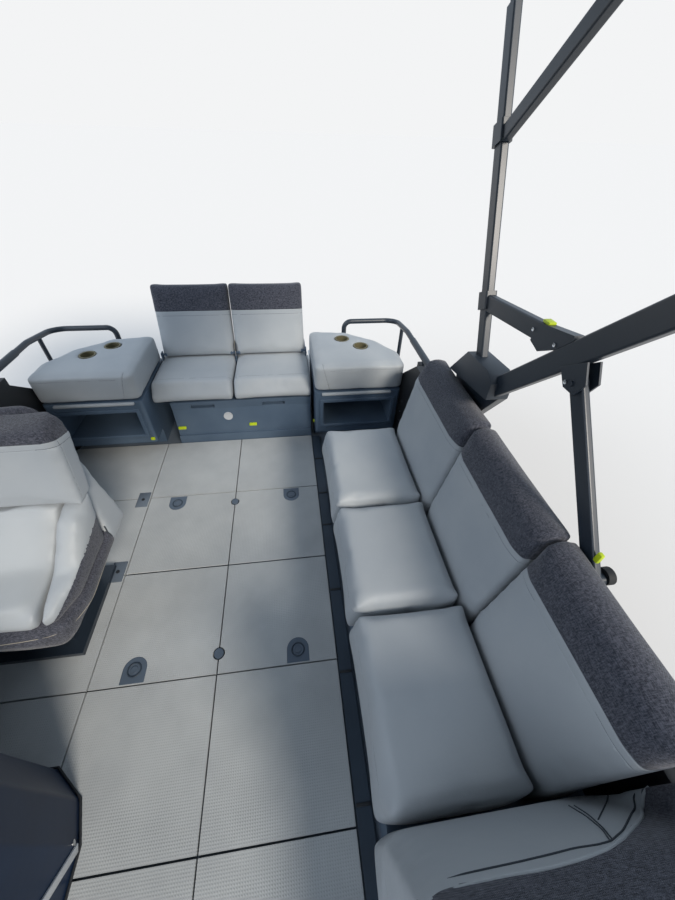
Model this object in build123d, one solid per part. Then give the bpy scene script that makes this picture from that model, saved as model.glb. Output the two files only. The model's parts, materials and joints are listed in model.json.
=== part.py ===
from build123d import *
import math
import os

# A compact three-hull jet-drive deck boat, in millimetres.
# X runs forward, Y to port, Z up. The origin is under the middle of the boat,
# level with the flat runners of the three keels.

# Overall
length = 5900
beam = 2440
deck_height = 620
clearance = 0.3

# Hulls, measured aft from the bow
hull_taper = 1650
side_hull_taper = 1700

# Deck
deck_thick = 80
tile = 500
tile_thick = 20
tile_joint = 6
stern_gap = 50
cockpit_aft = 1300
bow_corner = 700
bow_bare = 100
side_tile_rows = 4
rub_thick = 25
rub_above = 5
rub_below = 10
strip_wide = 60
strip_drop = 5
wall_gap = 22
platform_long = 508
platform_edge = 70

# Hatches and engine bay
hatch_row = 1
lid_ledge = 26
lid_bead = 3
latch_wide = 95
latch_long = 100
latch_in = 335
latch_deep = 12
latch_edge = 4
knob_radius = 20
knob_proud = 4
knob_room = 5
knob_in = 80
bay_half = 420
bay_floor = 165
engine_long = 700
engine_wide = 460
engine_gap = 25

# Jet drive
jet_height = 215
transom_in = 350
duct_out = 128
duct_in = 106
duct_long = 330
tunnel_half = 150
tunnel_top = 365
tunnel_long = 450
ramp_long = 850
hub_radius = 34
stator_long = 92
wheel_gap = 15
wheel_long = 90
blade_count = 4
blade_turn = 38
vane_count = 6
shaft_radius = 16
outlet_radius = 70
outlet_wall = 8
nozzle_pivot = 110
nozzle_fore = 12
nozzle_long = 170
nozzle_mouth = 62
nozzle_root = 100
nozzle_wall = 12
pin_radius = 9
bucket_radius = 235
bucket_thick = 10
bucket_half = 150
arm_thick = 10
bar_count = 7
grate_low = 8
grate_high = 20

# Towing and tie-down eyes
eye_drop = 65
eye_edge = 220
eye_plate = 8
eye_half = 26
eye_tall = 34
eye_reach = 34
eye_thick = 16
eye_outer = 24
eye_bore = 12.5

# Mooring cleats
cleat_long = 180
cleat_wide = 26
cleat_high = 40
cleat_edge = 48
cleat_aft = 220
cleat_fore = 1120
cleat_bow_in = 200
cleat_bow_half = 605

# Stern seat
seat_high = 320
cushion_thick = 128
seat_foot_starboard = 414
seat_deep = 690
seat_crease = 375
step_high = 60
back_top = 880
back_thick = 95
back_pivot_x = -400
back_pivot_z = 475
back_lean = 16
back_front = 8
back_low = 12
back_side_gap = 24
split_gap = 20
shelf_high = 425
hinge_lug = 8
hinge_gap = 6
recess_long = 150
recess_high = 26
recess_down = 40
recess_mids = (-215, 250)

# Stern corner modules
corner_gap = 13
corner_start = 25
corner_front = 90
corner_deep = 550
corner_side = 75
pad_low = 420
pad_high = 600
kick_deep = 140
kick_high = 100
cubby_low = 170
cubby_high = 345
cubby_deep = 250
cubby_wall = 55
cup_radius = 39
cup_wall = 3
cup_deep = 85
cup_rim = 7
# columns: X, distance in from the module's outer side
cup_spots = ((-295, 340), (-180, 230))

# Port lounge
lounge_seams = (480, 1020, 1500, 2010)
back_seams = (475, 1050, 1550, 2020)
lounge_start = 30
lounge_base_high = 245
lounge_top = 445
lounge_gap = 4
roll_gap = 30
roll_bulge = 4
crease_in = 182
pipe_in = 118
pipe_high = 750
roll_in = 45
roll_high = 865
end_back_start = 2030
end_back_thick = 240
kick_in = 25
kick_tall = 80

# Helm
helm_inner = 400
helm_wall_gap = 70
helm_seat_back = 860
helm_seat_front = 1450
helm_seat_low = 204
helm_seat_mount = 400
helm_seat_high = 480
helm_back_high = 930
helm_taper_in = 150
helm_taper_high = 350
helm_top_corner = 75
helm_front_corner = 150
helm_pad_in = 8
helm_bolster = 95
helm_bolster_rise = 70
slide_half = 150
slide_wide = 36
slide_in = 90
foot_half = 190
foot_high = 24
stem_half = 140
stem_in = 60
slide_high = 24
console_start = 1730
console_long = 720
console_inner = 365
console_gap = 30
console_high = 880
console_round = 30
bar_half = 330
dash_foot = (20, 560)
dash_run = 310
bar_up_dash = 0.36
bar_out = 92
column_radius = 24
display_up_dash = 0.74
display_long = 260
display_tall = 130
display_thick = 16
switch_wide = 70
switch_tall = 110
switch_thick = 14
lever_out = 46
lever_long = 130
lever_radius = 6
screen_in = 110
screen_rake = 150
screen_high = 330
screen_thick = 6

# Sides and rails
panel_thick = 30
panel_in = 30
panel_high = 625
panel_stern = 110
gate_half = 340
gate_low = 30
side_rail_radius = 20
side_rail_high = 675
rail_post = 12
rail_pitch = 700
gate_gap = 12
knuckle_radius = 8
knuckle_pin = 4
knuckle_high = 26
leaf_long = 34
stern_rail_radius = 17
stern_rail_high = 632
stern_rail_back = -508
stern_rail_in = 385
rail_joint = -80
rail_leg = -330

# Bow seats
bow_seat_gap = 100
bow_port_gap = 20
bow_seat_clear = 620
bow_back_thick = 146

# Canopy
canopy_aft = 290
canopy_fore = 2560
canopy_high = 2100
canopy_edge = 90
canopy_crown = 70
canopy_thick = 14
frame_in = 70
bow_tube = 14
bow_bend = 75
bow_leg = 20
bow_socket = 45
bow_straight_out = 2
beam_deep = 70
beam_wide = 30
bar_round = 6
beam_foot = (940, 954)
beam_lean = 45
post_deep = 48
post_wide = 30
post_foot = (800, 1000)
post_top = 316
brace_foot = (520, 1683)
mid_bow = 1070
strut_aft = (735, 1204)
strut_fore = (1150, 1248)
strut_deep = 58
strut_wide = 30
prop_head = (1285, 1190)
prop_foot = (1715, 715)
prop_deep = 50
prop_wide = 22
prop_plate = 6
prop_pin = 8
prop_base = 40
knob_back = 110
clamp_wall = 7
clamp_long = 64
bracket_half = 44
bracket_low = 872
bracket_aft = 600
bracket_fore = 980
bracket_high = 1030
bracket_step = 60
bracket_slope = 20
bracket_nose = 50
bracket_heel = 40
# columns: X, Z
gusset_points = ((1050, 1204), (1100, 1190), (1225, 1262), (1212, 1290), (1060, 1264))

# Boarding ladder
ladder_long = 470
ladder_half = 170
ladder_tube = 14
ladder_mid = 740
ladder_rest = 8
ladder_pitch = 140
tread_half = 22
tread_thick = 16

# Places that follow from the sizes above
stern = -length / 2
nose = length / 2
side = beam / 2
row_0 = stern + cockpit_aft
transom = stern + transom_in
frame_top = deck_height - tile_thick
frame_low = frame_top - deck_thick
eye_high = frame_low - eye_drop
wall = side - panel_in - panel_thick
rail_line = side - panel_in - panel_thick / 2
row_count = int((nose - bow_bare - row_0) // tile)
lounge_foot = tile + strip_wide + 5
lounge_front = tile + lounge_start
roll_out = wall - roll_gap
lounge_crease = roll_out - crease_in
corner_inner = tile + corner_start
corner_out = wall - corner_side
seat_half = corner_inner - corner_gap
back_half = seat_half - back_side_gap
helm_outer = wall - helm_wall_gap
helm_seat_mid = -(helm_inner + helm_outer) / 2
helm_seat_half = (helm_outer - helm_inner) / 2
console_out = wall - console_gap
frame_side = side - frame_in
canopy_half = frame_side - canopy_edge
bow_straight = canopy_half + bow_straight_out
sponson_mid = side - 270


def fore(x):
    """A place measured forward from the first tile row."""
    return row_0 + x


def up(z):
    """A height measured above the deck tiles."""
    return deck_height + z


def level(z):
    """A height above the keels, or below the deck frame where it is negative."""
    return z if z >= 0 else frame_low + z


def block(x0, x1, y0, y1, z0, z1):
    """A box between two corners."""
    return Pos((x0 + x1) / 2, (y0 + y1) / 2, (z0 + z1) / 2) * Box(abs(x1 - x0), abs(y1 - y0), abs(z1 - z0))


def side_shape(points, y0, y1, radius=0):
    """An outline in X and Z, pushed across the boat from y0 to y1."""
    line = Polyline(*[(x, y0, z) for x, z in points], close=True)
    solid = extrude(make_face(line), amount=y1 - y0, dir=(0, 1, 0))
    if radius:
        solid = fillet(solid.edges().filter_by(Axis.Y), radius)
    return solid


def end_shape(points, x0, x1):
    """An outline in Y and Z, pushed forward from x0 to x1."""
    line = Polyline(*[(x0, y, z) for y, z in points], close=True)
    return extrude(make_face(line), amount=x1 - x0, dir=(1, 0, 0))


def plan_shape(points, z0, z1, radius=0):
    """An outline in X and Y, pushed up from z0 to z1."""
    line = Polyline(*[(x, y, z0) for x, y in points], close=True)
    solid = extrude(make_face(line), amount=z1 - z0, dir=(0, 0, 1))
    if radius:
        solid = fillet(solid.edges().filter_by(Axis.Z), radius)
    return solid


def rod(start, end, radius):
    """A round bar between two points."""
    run = Vector(*end) - Vector(*start)
    return extrude(Plane(origin=start, z_dir=run) * Circle(radius), amount=run.length)


def cross_rod(x, z, y0, y1, radius):
    """A round bar across the boat."""
    return rod((x, min(y0, y1), z), (x, max(y0, y1), z), radius)


def flat_bar(y, start, end, deep, wide):
    """A flat bar with rounded corners between two points, X and Z, of one fore-and-aft plane."""
    first = Vector(start[0], y, start[1])
    run = Vector(end[0], y, end[1]) - first
    plane = Plane(origin=first, x_dir=(0, 1, 0), z_dir=run)
    return extrude(plane * RectangleRounded(wide, deep, bar_round), amount=run.length)


def between(start, end, distance):
    """The point that far from the start towards the end."""
    share = distance / math.dist(start, end)
    return tuple(a + (b - a) * share for a, b in zip(start, end))


def tube_path(points, bend, radius):
    """A bent tube of one radius along straight runs and tangent arcs."""
    path = FilletPolyline(*points, radius=bend)
    start = Plane(origin=points[0], z_dir=Vector(*points[1]) - Vector(*points[0]))
    return sweep(start * Circle(radius), path=path)


def to_port(shape):
    """The same shape on the other side of the boat."""
    return mirror(shape, about=Plane.XZ)


def both(shape):
    """The shape and its mirror image as two solids of one piece."""
    return Compound([shape, to_port(shape)])


def deck_outline(inset):
    """The deck seen from above, square at the stern and rounded at the bow."""
    half = side - inset
    aft = stern + stern_gap
    front = nose - inset
    corners = ((aft, -half), (front, -half), (front, half), (aft, half))
    sides = FilletPolyline(*corners, radius=bow_corner - inset)
    return make_face([*sides.edges(), Line((aft, half), (aft, -half))])


# columns: X, middle Y, runner half, runner Z, chine half, chine Z, side half, side Z, top half
# a negative Z is measured down from the deck frame
centre_sections = (
    (transom, 0, 110, 0, 440, 110, 530, -190, 540),
    (nose - hull_taper, 0, 110, 0, 440, 110, 530, -190, 540),
    (nose - 750, 0, 80, 60, 330, 190, 440, -140, 480),
    (nose - 170, 0, 30, -190, 130, -130, 190, -60, 240),
)
sponson_sections = (
    (stern + 60, sponson_mid, 70, 0, 165, 80, 200, -240, 212),
    (nose - side_hull_taper, sponson_mid, 70, 0, 165, 80, 200, -240, 212),
    (nose - 900, sponson_mid - 5, 60, 90, 140, 190, 178, -160, 195),
    (nose - 330, sponson_mid - 70, 20, -140, 60, -100, 90, -50, 120),
)


def hull(sections):
    """A hull lofted straight between a few flat sections."""
    faces = []
    for x, mid, run, run_z, chine, chine_z, flare, flare_z, top in sections:
        port = [(run, level(run_z)), (chine, level(chine_z)), (flare, level(flare_z)), (top, frame_low)]
        ring = [(x, mid - y, z) for y, z in reversed(port)] + [(x, mid + y, z) for y, z in port]
        faces.append(make_face(Polyline(*ring, close=True)))
    return loft(faces, ruled=True)


def bay_ends():
    """The stern and bow ends of the two rows of hatch lids."""
    return fore(hatch_row * tile), fore((hatch_row + 2) * tile)


def lid_hinge(aft):
    """The hinge line of one row of lids: its X, its Z and the way the lids run from it."""
    toward = -1 if aft else 1
    return fore((hatch_row + 1) * tile) + toward * (tile_joint / 2 + lid_bead), deck_height - lid_bead, toward


def centre_hull():
    """The middle hull with its open engine bay, pump tunnel and shaft bore."""
    bay_aft, bay_fore = bay_ends()
    bay = block(bay_aft + lid_ledge, bay_fore - lid_ledge, -bay_half, bay_half, bay_floor, frame_low)
    tunnel = side_shape(
        [
            (transom - 1, -1),
            (transom - 1, tunnel_top),
            (transom + tunnel_long, tunnel_top),
            (transom + ramp_long, -1),
        ],
        -tunnel_half,
        tunnel_half,
    )
    bore = rod((transom, 0, jet_height), (bay_aft + 2 * lid_ledge, 0, jet_height), shaft_radius * 1.6)
    return hull(centre_sections) - bay - tunnel - bore


def deck_frame():
    """The flat deck structure, open under each of the four lids, with beams under their joints."""
    plate = Pos(0, 0, frame_low) * extrude(deck_outline(rub_thick + clearance), amount=deck_thick)
    bay_aft, bay_fore = bay_ends()
    for first in (bay_aft, bay_fore - tile):
        for inner in (-tile, 0):
            plate -= block(first + lid_ledge, first + tile - lid_ledge,
                           inner + lid_ledge, inner + tile - lid_ledge, frame_low, frame_top)
    return plate


def rub_rail():
    """The fender band round the deck's edge."""
    low = frame_low + rub_above
    high = frame_top - rub_below
    ring = extrude(deck_outline(0), amount=high - low) - extrude(deck_outline(rub_thick), amount=high - low)
    return Pos(0, 0, low) * ring


def deck_tile(x0, x1, y0, y1):
    """One deck tile, held back from its neighbours by half a joint."""
    half = tile_joint / 2
    return block(x0 + half, x1 - half, y0 + half, y1 - half, frame_top + clearance, deck_height)


def deck_tiles():
    """The fixed tiles of the cockpit and bow, and the pads of the stern platform."""
    tiles = []
    for row in range(row_count):
        x = fore(row * tile)
        if not hatch_row <= row < hatch_row + 2:
            tiles += [deck_tile(x, x + tile, -tile, 0), deck_tile(x, x + tile, 0, tile)]
        if row < side_tile_rows:
            tiles.append(deck_tile(x, x + tile, wall_gap - wall, -tile))
    aft = stern + stern_gap + tile_joint / 2
    outer = side - platform_edge
    for y0, y1 in ((-outer, -tile), (-tile, tile), (tile, outer)):
        tiles.append(deck_tile(aft, aft + platform_long, y0, y1))
    footprint = plan_shape(console_points(tile_joint / 2), frame_top, deck_height + 1)
    return Compound([piece for flat in tiles for piece in (flat - footprint).solids()])


def hold_down_spots():
    """The X of the two knobs that hold the lids' free edges, on the middle joint."""
    bay_aft, bay_fore = bay_ends()
    return bay_aft + knob_in, bay_fore - knob_in


def hatch_lid(aft, port):
    """One lid of the engine bay, with its hinge bead, latch pocket and knob notch."""
    x, z, toward = lid_hinge(aft)
    low = frame_top + clearance
    far = fore((hatch_row + 1) * tile) + toward * (tile - tile_joint / 2)
    inner = port * tile_joint / 2
    outer = port * (tile - tile_joint / 2)
    bevel = x + toward * (z - low)
    points = [(x, deck_height), (x, z - lid_bead), (bevel, low), (far, low), (far, deck_height)]
    lid = side_shape(points, min(inner, outer), max(inner, outer)) + cross_rod(x, z, inner, outer, lid_bead)
    for knob in hold_down_spots():
        lid -= Pos(knob, 0, z) * Cylinder(knob_radius + knob_room, 4 * tile_thick)
    return lid - latch_shape(aft, port, 0)


def latch_shape(aft, port, gap):
    """A flush pull latch, flat along the lid's free edge and round towards the hinge."""
    toward = -1 if aft else 1
    far = fore((hatch_row + 1) * tile) + toward * (tile - tile_joint / 2 - latch_edge)
    half = latch_wide / 2 - gap
    mid = far - toward * (latch_long - half - gap)
    low = deck_height - latch_deep + gap
    pad = block(far - toward * gap, mid, port * latch_in - half, port * latch_in + half, low, deck_height)
    return pad + Pos(mid, port * latch_in, (low + deck_height) / 2) * Cylinder(half, deck_height - low)


def hatch_knobs():
    """The two round knobs that hold the lids' free edges down, on the middle beam."""
    low = frame_top + clearance
    high = deck_height + knob_proud
    return Compound([rod((x, 0, low), (x, 0, high), knob_radius) for x in hold_down_spots()])


def hull_eye(x, y, toward):
    """A round eye on a plate, for a hook or a shackle across the boat."""
    face = x + toward * eye_plate
    plate = block(x, face, y - eye_half, y + eye_half, eye_high - eye_tall, eye_high + eye_tall)
    middle = x + toward * eye_reach
    y0, y1 = y - eye_thick / 2, y + eye_thick / 2
    tongue = block(x, middle, y0, y1, eye_high - eye_outer, eye_high + eye_outer)
    tongue += cross_rod(middle, eye_high, y0, y1, eye_outer)
    return plate + tongue - cross_rod(middle, eye_high, y - eye_half, y + eye_half, eye_bore)


def hull_eyes():
    """The towing eye on the stem and the tie-down eyes on the side hulls' sterns."""
    aft = hull_eye(sponson_sections[0][0] - clearance, side - eye_edge, -1)
    return Compound([hull_eye(centre_sections[-1][0] + clearance, 0, 1), aft, to_port(aft)])


def cleat(x, y):
    """A two-horned mooring cleat on the bare deck frame."""
    low = frame_top + clearance
    horn = cleat_wide / 3
    high = low + cleat_high - horn
    half = cleat_long / 3
    foot = block(x - half, x + half, y - cleat_wide / 2, y + cleat_wide / 2, low, low + horn)
    for end in (-1, 1):
        foot += rod((x + end * cleat_long / 5, y, low), (x + end * cleat_long / 5, y, high), horn)
    return foot + rod((x - cleat_long / 2, y, high), (x + cleat_long / 2, y, high), horn)


def cleats():
    """Six mooring cleats: two at the stern, two beside the stern seats and two at the bow."""
    edge = side - cleat_edge
    spots = ((stern + cleat_aft, edge), (stern + cleat_fore, edge), (nose - cleat_bow_in, cleat_bow_half))
    port = [cleat(x, y) for x, y in spots]
    return Compound([*port, *[to_port(piece) for piece in port]])


def side_track():
    """The recessed dark strip between the tiles and the port seats."""
    half = tile_joint / 2
    return block(fore(0) + half, fore(row_count * tile) - half, tile + half, tile + strip_wide - half,
                 frame_top + clearance, deck_height - strip_drop)


def engine_face():
    """The engine's aft end."""
    return fore((hatch_row + 1) * tile) - engine_long / 2


def engine_block():
    """The engine, as one plain mass on the bay's floor."""
    return block(engine_face(), engine_face() + engine_long, -engine_wide / 2, engine_wide / 2,
                 bay_floor + clearance, frame_low - engine_gap)


def ring_shape(x0, x1, outer_0, outer_1, inner_0, inner_1):
    """A hollow cone about the jet's axis between two stations."""
    points = [(x0, inner_0), (x0, outer_0), (x1, outer_1), (x1, inner_1)]
    line = Polyline(*[(x, 0, z) for x, z in points], close=True)
    return Pos(0, 0, jet_height) * revolve(make_face(line), axis=Axis.X)


def jet_pump():
    """The pump's duct, stator vanes, outlet cone and the two steering pins."""
    front = transom + duct_long
    duct = ring_shape(transom - 5, front, duct_out, duct_out, duct_in, duct_in)
    flange = block(transom + 20, transom + 36, -tunnel_half + clearance, tunnel_half - clearance,
                   jet_height - tunnel_half, tunnel_top - clearance)
    flange -= Pos(transom + 28, 0, jet_height) * Rot(0, 90, 0) * Cylinder(duct_in, 40)
    pivot = transom - nozzle_pivot
    outlet = outlet_radius + outlet_wall
    throat = pivot + nozzle_pivot / 2
    cone = ring_shape(throat, transom - 5, outlet, duct_in + outlet_wall, outlet_radius, duct_in)
    cone += ring_shape(pivot - 2 * pin_radius, throat, outlet, outlet, outlet_radius, outlet_radius)
    start = transom + 20
    hub = ring_shape(start, start + stator_long, hub_radius, hub_radius, shaft_radius + 4, shaft_radius + 4)
    pump = duct + flange + cone + hub
    for step in range(vane_count):
        vane = block(start + 2, start + stator_long - 2, -3, 3, hub_radius - 2, duct_in + 4)
        pump += Pos(0, 0, jet_height) * Rot(360 / vane_count * step, 0, 0) * vane
    for end in (-1, 1):
        first = jet_height + end * (outlet - outlet_wall / 2)
        last = jet_height + end * (nozzle_root + nozzle_wall)
        pump += rod((pivot, 0, first), (pivot, 0, last), pin_radius)
    return pump


def impeller():
    """The impeller and its drive shaft, which turn together."""
    start = transom + 20 + stator_long + wheel_gap
    tip = start - wheel_gap - 20
    wheel = rod((tip, 0, jet_height), (engine_face() - clearance, 0, jet_height), shaft_radius)
    wheel += rod((start, 0, jet_height), (start + wheel_long, 0, jet_height), hub_radius)
    wide = duct_in - 5 - hub_radius
    for step in range(blade_count):
        blade = Pos(start + wheel_long / 2, 0, hub_radius - 4 + wide / 2) * Rot(0, 0, blade_turn)
        blade = blade * Box(wheel_long + 6, 6, wide)
        wheel += Pos(0, 0, jet_height) * Rot(360 / blade_count * step, 0, 0) * blade
    return wheel


def steering_nozzle():
    """The nozzle that turns the jet, on the pump's two pins."""
    pivot = transom - nozzle_pivot
    outer = nozzle_root + nozzle_wall
    straight = pivot - nozzle_fore * 3
    shell = ring_shape(straight, pivot + nozzle_fore, outer, outer, nozzle_root, nozzle_root)
    shell += ring_shape(pivot - nozzle_long, straight, nozzle_mouth + 8, outer, nozzle_mouth, nozzle_root)
    for end in (-1, 1):
        shell += cross_rod(bucket_pivot(), jet_height, end * (outer - 4), end * (outer + 24), pin_radius)
        shell -= Pos(pivot, 0, jet_height + end * outer) * Cylinder(pin_radius + clearance, 4 * nozzle_wall)
    return shell


def bucket_pivot():
    """The X of the reverse bucket's pins."""
    return transom - nozzle_pivot - pin_radius - 1


def reverse_bucket():
    """The reverse bucket, stowed above the nozzle on its two arms."""
    shell = Cylinder(bucket_radius, 2 * bucket_half) - Cylinder(bucket_radius - bucket_thick, 2 * bucket_half)
    shell = Rot(90, 0, 0) * shell
    wedge = side_shape([(0, 0), (-400, 280), (-400, 560), (35, 400)], -bucket_half - 1, bucket_half + 1)
    shell = shell & wedge
    root = pin_radius + 7
    reach = bucket_radius - bucket_thick / 2
    for end in (-1, 1):
        arm = side_shape([(-root, -root), (root, -root), (24, reach), (-reach * 0.8, reach * 0.6), (-20, 0)],
                         -arm_thick / 2, arm_thick / 2)
        arm -= Rot(90, 0, 0) * Cylinder(pin_radius + clearance, 2 * arm_thick)
        shell += Pos(0, end * (nozzle_root + nozzle_wall + 16), 0) * arm
    return Pos(bucket_pivot(), 0, jet_height) * shell


def intake_grate():
    """The bars across the water intake under the middle hull."""
    start = transom + duct_long + 40
    end = transom + ramp_long - 60
    half = tunnel_half - clearance
    bars = block(start, start + 24, -half, half, grate_low, grate_high + 12)
    bars += block(end - 30, end, -half, half, grate_low, grate_high)
    for step in range(bar_count):
        y = (step - (bar_count - 1) / 2) * 2 * tunnel_half / (bar_count + 1)
        bars += block(start, end, y - 5, y + 5, grate_low, grate_high)
    return bars


def stern_seat_base():
    """The stern seat's moulded base: a stepped foot, two hand recesses, a rear shelf and hinge lugs."""
    low = frame_top + clearance
    top = up(seat_high) - clearance
    front = fore(0)
    shelf = fore(-seat_crease) - clearance
    points = [(fore(-seat_deep), low), (front - 2, low), (front - 2, up(step_high)),
              (front - 16, up(step_high)), (front - 30, up(seat_high - 60)), (front - 22, top),
              (shelf, top), (shelf, up(shelf_high)), (fore(-seat_deep), up(shelf_high))]
    base = side_shape(points, -seat_foot_starboard, tile)
    for mid in recess_mids:
        base -= Pos(front - 25, mid, up(seat_high - recess_down)) * Box(60, recess_long, recess_high)
    outer = back_half + hinge_gap + hinge_lug
    base += block(fore(-seat_deep), shelf, -outer, outer, up(seat_high), up(shelf_high))
    pivot = fore(back_pivot_x)
    for mid in (hinge_lug / 2 - outer, 0, outer - hinge_lug / 2):
        lug = block(pivot - 20, pivot + 18, mid - hinge_lug / 2, mid + hinge_lug / 2,
                    up(shelf_high) - 10, up(back_pivot_z + 16))
        base += lug
        base -= cross_rod(pivot, up(back_pivot_z), mid - hinge_lug, mid + hinge_lug, pin_radius + clearance)
    return base


def stern_cushions():
    """The two stern seat cushions."""
    top = up(seat_high + cushion_thick)
    points = [(fore(-seat_crease), up(seat_high)), (fore(-14), up(seat_high)), (fore(-6), up(seat_high + 40)),
              (fore(-70), top), (fore(-seat_crease), top)]
    return both(side_shape(points, 3, seat_half))


def back_frame(depth_0, depth_1, low, high, y0, y1):
    """A slab in the leaning plane of a stern back, measured from its pivot."""
    slab = block(depth_0, depth_1, y0, y1, low, high)
    return Pos(fore(back_pivot_x), 0, up(back_pivot_z)) * Rot(0, -back_lean, 0) * slab


def stern_back_span(port):
    """The two edges of one stern back."""
    return sorted((port * split_gap / 2, port * back_half))


def stern_back_pad(port):
    """One stern backrest's cushion."""
    y0, y1 = stern_back_span(port)
    high = (back_top - back_pivot_z) / math.cos(math.radians(back_lean))
    return back_frame(back_front - back_thick, back_front, back_low, high, y0, y1)


def stern_back_shell(port):
    """One stern backrest's carrier: a rear panel, two hinge arms and their pins."""
    y0, y1 = stern_back_span(port)
    high = (back_top - back_pivot_z) * 0.9
    rear = back_front - back_thick - clearance
    arm = pin_radius + 3
    shell = back_frame(rear - arm, rear, back_low - 3, high, y0 + 4, y1 - 4)
    x, z = fore(back_pivot_x), up(back_pivot_z)
    ends = sorted((port * clearance, port * (back_half + hinge_gap + hinge_lug)))
    for y, end in ((y0 + arm, ends[0]), (y1 - 2 * arm, ends[1])):
        shell += back_frame(rear - arm, arm, 1 - arm, back_low - clearance, y, y + arm)
        shell += cross_rod(x, z, y + arm / 2, end, pin_radius)
    return shell


def corner_points():
    """The plan of a stern corner module, on the port side."""
    aft = corner_front - corner_deep
    return [(fore(corner_front), corner_inner), (fore(corner_front), corner_out),
            (fore(aft + 365), corner_out), (fore(aft + 180), corner_out - 100),
            (fore(aft + 30), corner_out - 300), (fore(aft), corner_inner)]


def corner_base():
    """The port corner module's plastic base with its open cubby and toe recess."""
    low = frame_top + clearance
    base = plan_shape(corner_points(), low, up(pad_low) - clearance, 18)
    front = fore(corner_front) + 1
    base -= block(fore(corner_front - kick_deep), front, 0, beam, low - 1, up(kick_high))
    base -= block(fore(corner_front - cubby_deep), front, corner_inner + cubby_wall, corner_out - cubby_wall,
                  up(cubby_low), up(cubby_high))
    return base


def corner_pad():
    """The port corner module's padded top with its two cup holes."""
    pad = plan_shape(corner_points(), up(pad_low), up(pad_high), 40)
    for x, inset in cup_spots:
        hole = cup_radius + cup_wall + clearance
        pad -= Pos(fore(x), corner_out - inset, up(pad_high)) * Cylinder(hole, 2 * cup_deep + 12)
    return pad


def cup_liner(x, y):
    """One cup liner with its rim."""
    low = up(pad_high - cup_deep)
    seat = up(pad_high) + clearance
    high = seat + 2
    cup = rod((x, y, low), (x, y, high), cup_radius + cup_wall)
    cup += rod((x, y, seat), (x, y, high), cup_radius + cup_wall + cup_rim)
    return cup - rod((x, y, low + cup_wall), (x, y, high + 1), cup_radius)


def cup_liners():
    """The four cup liners, two in each corner pad."""
    spots = [(fore(x), way * (corner_out - inset)) for x, inset in cup_spots for way in (-1, 1)]
    return Compound([cup_liner(x, y) for x, y in spots])


def lounge_base():
    """The port lounge's base, set back at the foot."""
    low = frame_top + clearance
    back = wall - clearance
    high = up(lounge_base_high)
    toe = lounge_foot + kick_in
    points = [(toe, low), (toe, up(kick_tall - 10)), (lounge_foot, up(kick_tall + 10)),
              (lounge_foot, high), (back, high), (back, low)]
    return end_shape(points, fore(lounge_seams[0] + 6), fore(end_back_start + end_back_thick))


def lounge_cushions():
    """The three seat cushions of the port lounge."""
    low = up(lounge_base_high + clearance)
    points = [(lounge_front + 12, low), (lounge_front, low + 60), (lounge_front + 30, up(lounge_top)),
              (lounge_crease, up(lounge_top)), (lounge_crease, low)]
    spans = zip(lounge_seams[:-1], lounge_seams[1:])
    return Compound([end_shape(points, fore(a) + lounge_gap / 2, fore(b) - lounge_gap / 2) for a, b in spans])


def lounge_back_points(low_z):
    """The section of a side backrest: leaning face, piping line and rolled top."""
    front = lounge_crease + lounge_gap
    return [(front, up(low_z)), (front, up(lounge_top)), (roll_out - pipe_in, up(pipe_high)),
            (roll_out - 2 * roll_in, up(roll_high - 18)), (roll_out - roll_in, up(roll_high)),
            (roll_out, up(roll_high - 35)), (roll_out + roll_bulge, up(pipe_high - 60)), (roll_out, up(low_z))]


def lounge_backs():
    """The three backrests of the port lounge."""
    points = lounge_back_points(lounge_base_high + clearance)
    spans = zip(back_seams[:-1], back_seams[1:])
    return Compound([end_shape(points, fore(a) + lounge_gap / 2, fore(b) - lounge_gap / 2) for a, b in spans])


def end_back():
    """The backrest across the lounge's forward end, which faces aft."""
    low = up(lounge_base_high + clearance)
    x = end_back_start
    end = x + end_back_thick
    points = [(fore(x), low), (fore(x), up(lounge_top)), (fore(x + 72), up(pipe_high)),
              (fore(x + 110), up(roll_high - 15)), (fore(x + 160), up(roll_high)),
              (fore(end - 25), up(roll_high - 40)), (fore(end), up(pipe_high - 80)), (fore(end), low)]
    return side_shape(points, lounge_front - 20, roll_out)


def helm_pedestal():
    """The fixed slide under the helm seat: a foot plate, a stem and two runners."""
    start = fore(helm_seat_back + slide_in)
    end = fore(helm_seat_front - slide_in)
    rail_low = helm_seat_low - slide_high
    base = block(start, end, helm_seat_mid - foot_half, helm_seat_mid + foot_half,
                 deck_height + clearance, up(foot_high))
    base += block(start + stem_in, end - stem_in, helm_seat_mid - stem_half, helm_seat_mid + stem_half,
                  up(foot_high), up(rail_low))
    for end_side in (-1, 1):
        y = helm_seat_mid + end_side * slide_half
        base += block(start, end, y - slide_wide / 2, y + slide_wide / 2, up(rail_low), up(helm_seat_low))
    return base


def helm_outline(inset):
    """The helm seat's mass from the front and from above: narrower at its underside, with its corners cut."""
    half = helm_seat_half - inset
    low, top = up(helm_seat_low), up(helm_back_high)
    cut = helm_top_corner
    rise = [(half - helm_taper_in, low), (half, up(helm_taper_high)), (half, top - cut),
            (half - cut * 0.3, top - cut * 0.3), (half - cut, top)]
    seen_ahead = [(helm_seat_mid + y, z) for y, z in rise] + [(helm_seat_mid - y, z) for y, z in reversed(rise)]
    back, front = fore(helm_seat_back), fore(helm_seat_front) - inset
    cut = helm_front_corner
    edge = [(back, half), (front - cut, half), (front - cut * 0.3, half - cut * 0.3), (front, half - cut)]
    seen_above = [(x, helm_seat_mid + y) for x, y in edge] + [(x, helm_seat_mid - y) for x, y in reversed(edge)]
    return end_shape(seen_ahead, back, front) & plan_shape(seen_above, low, top)


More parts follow.
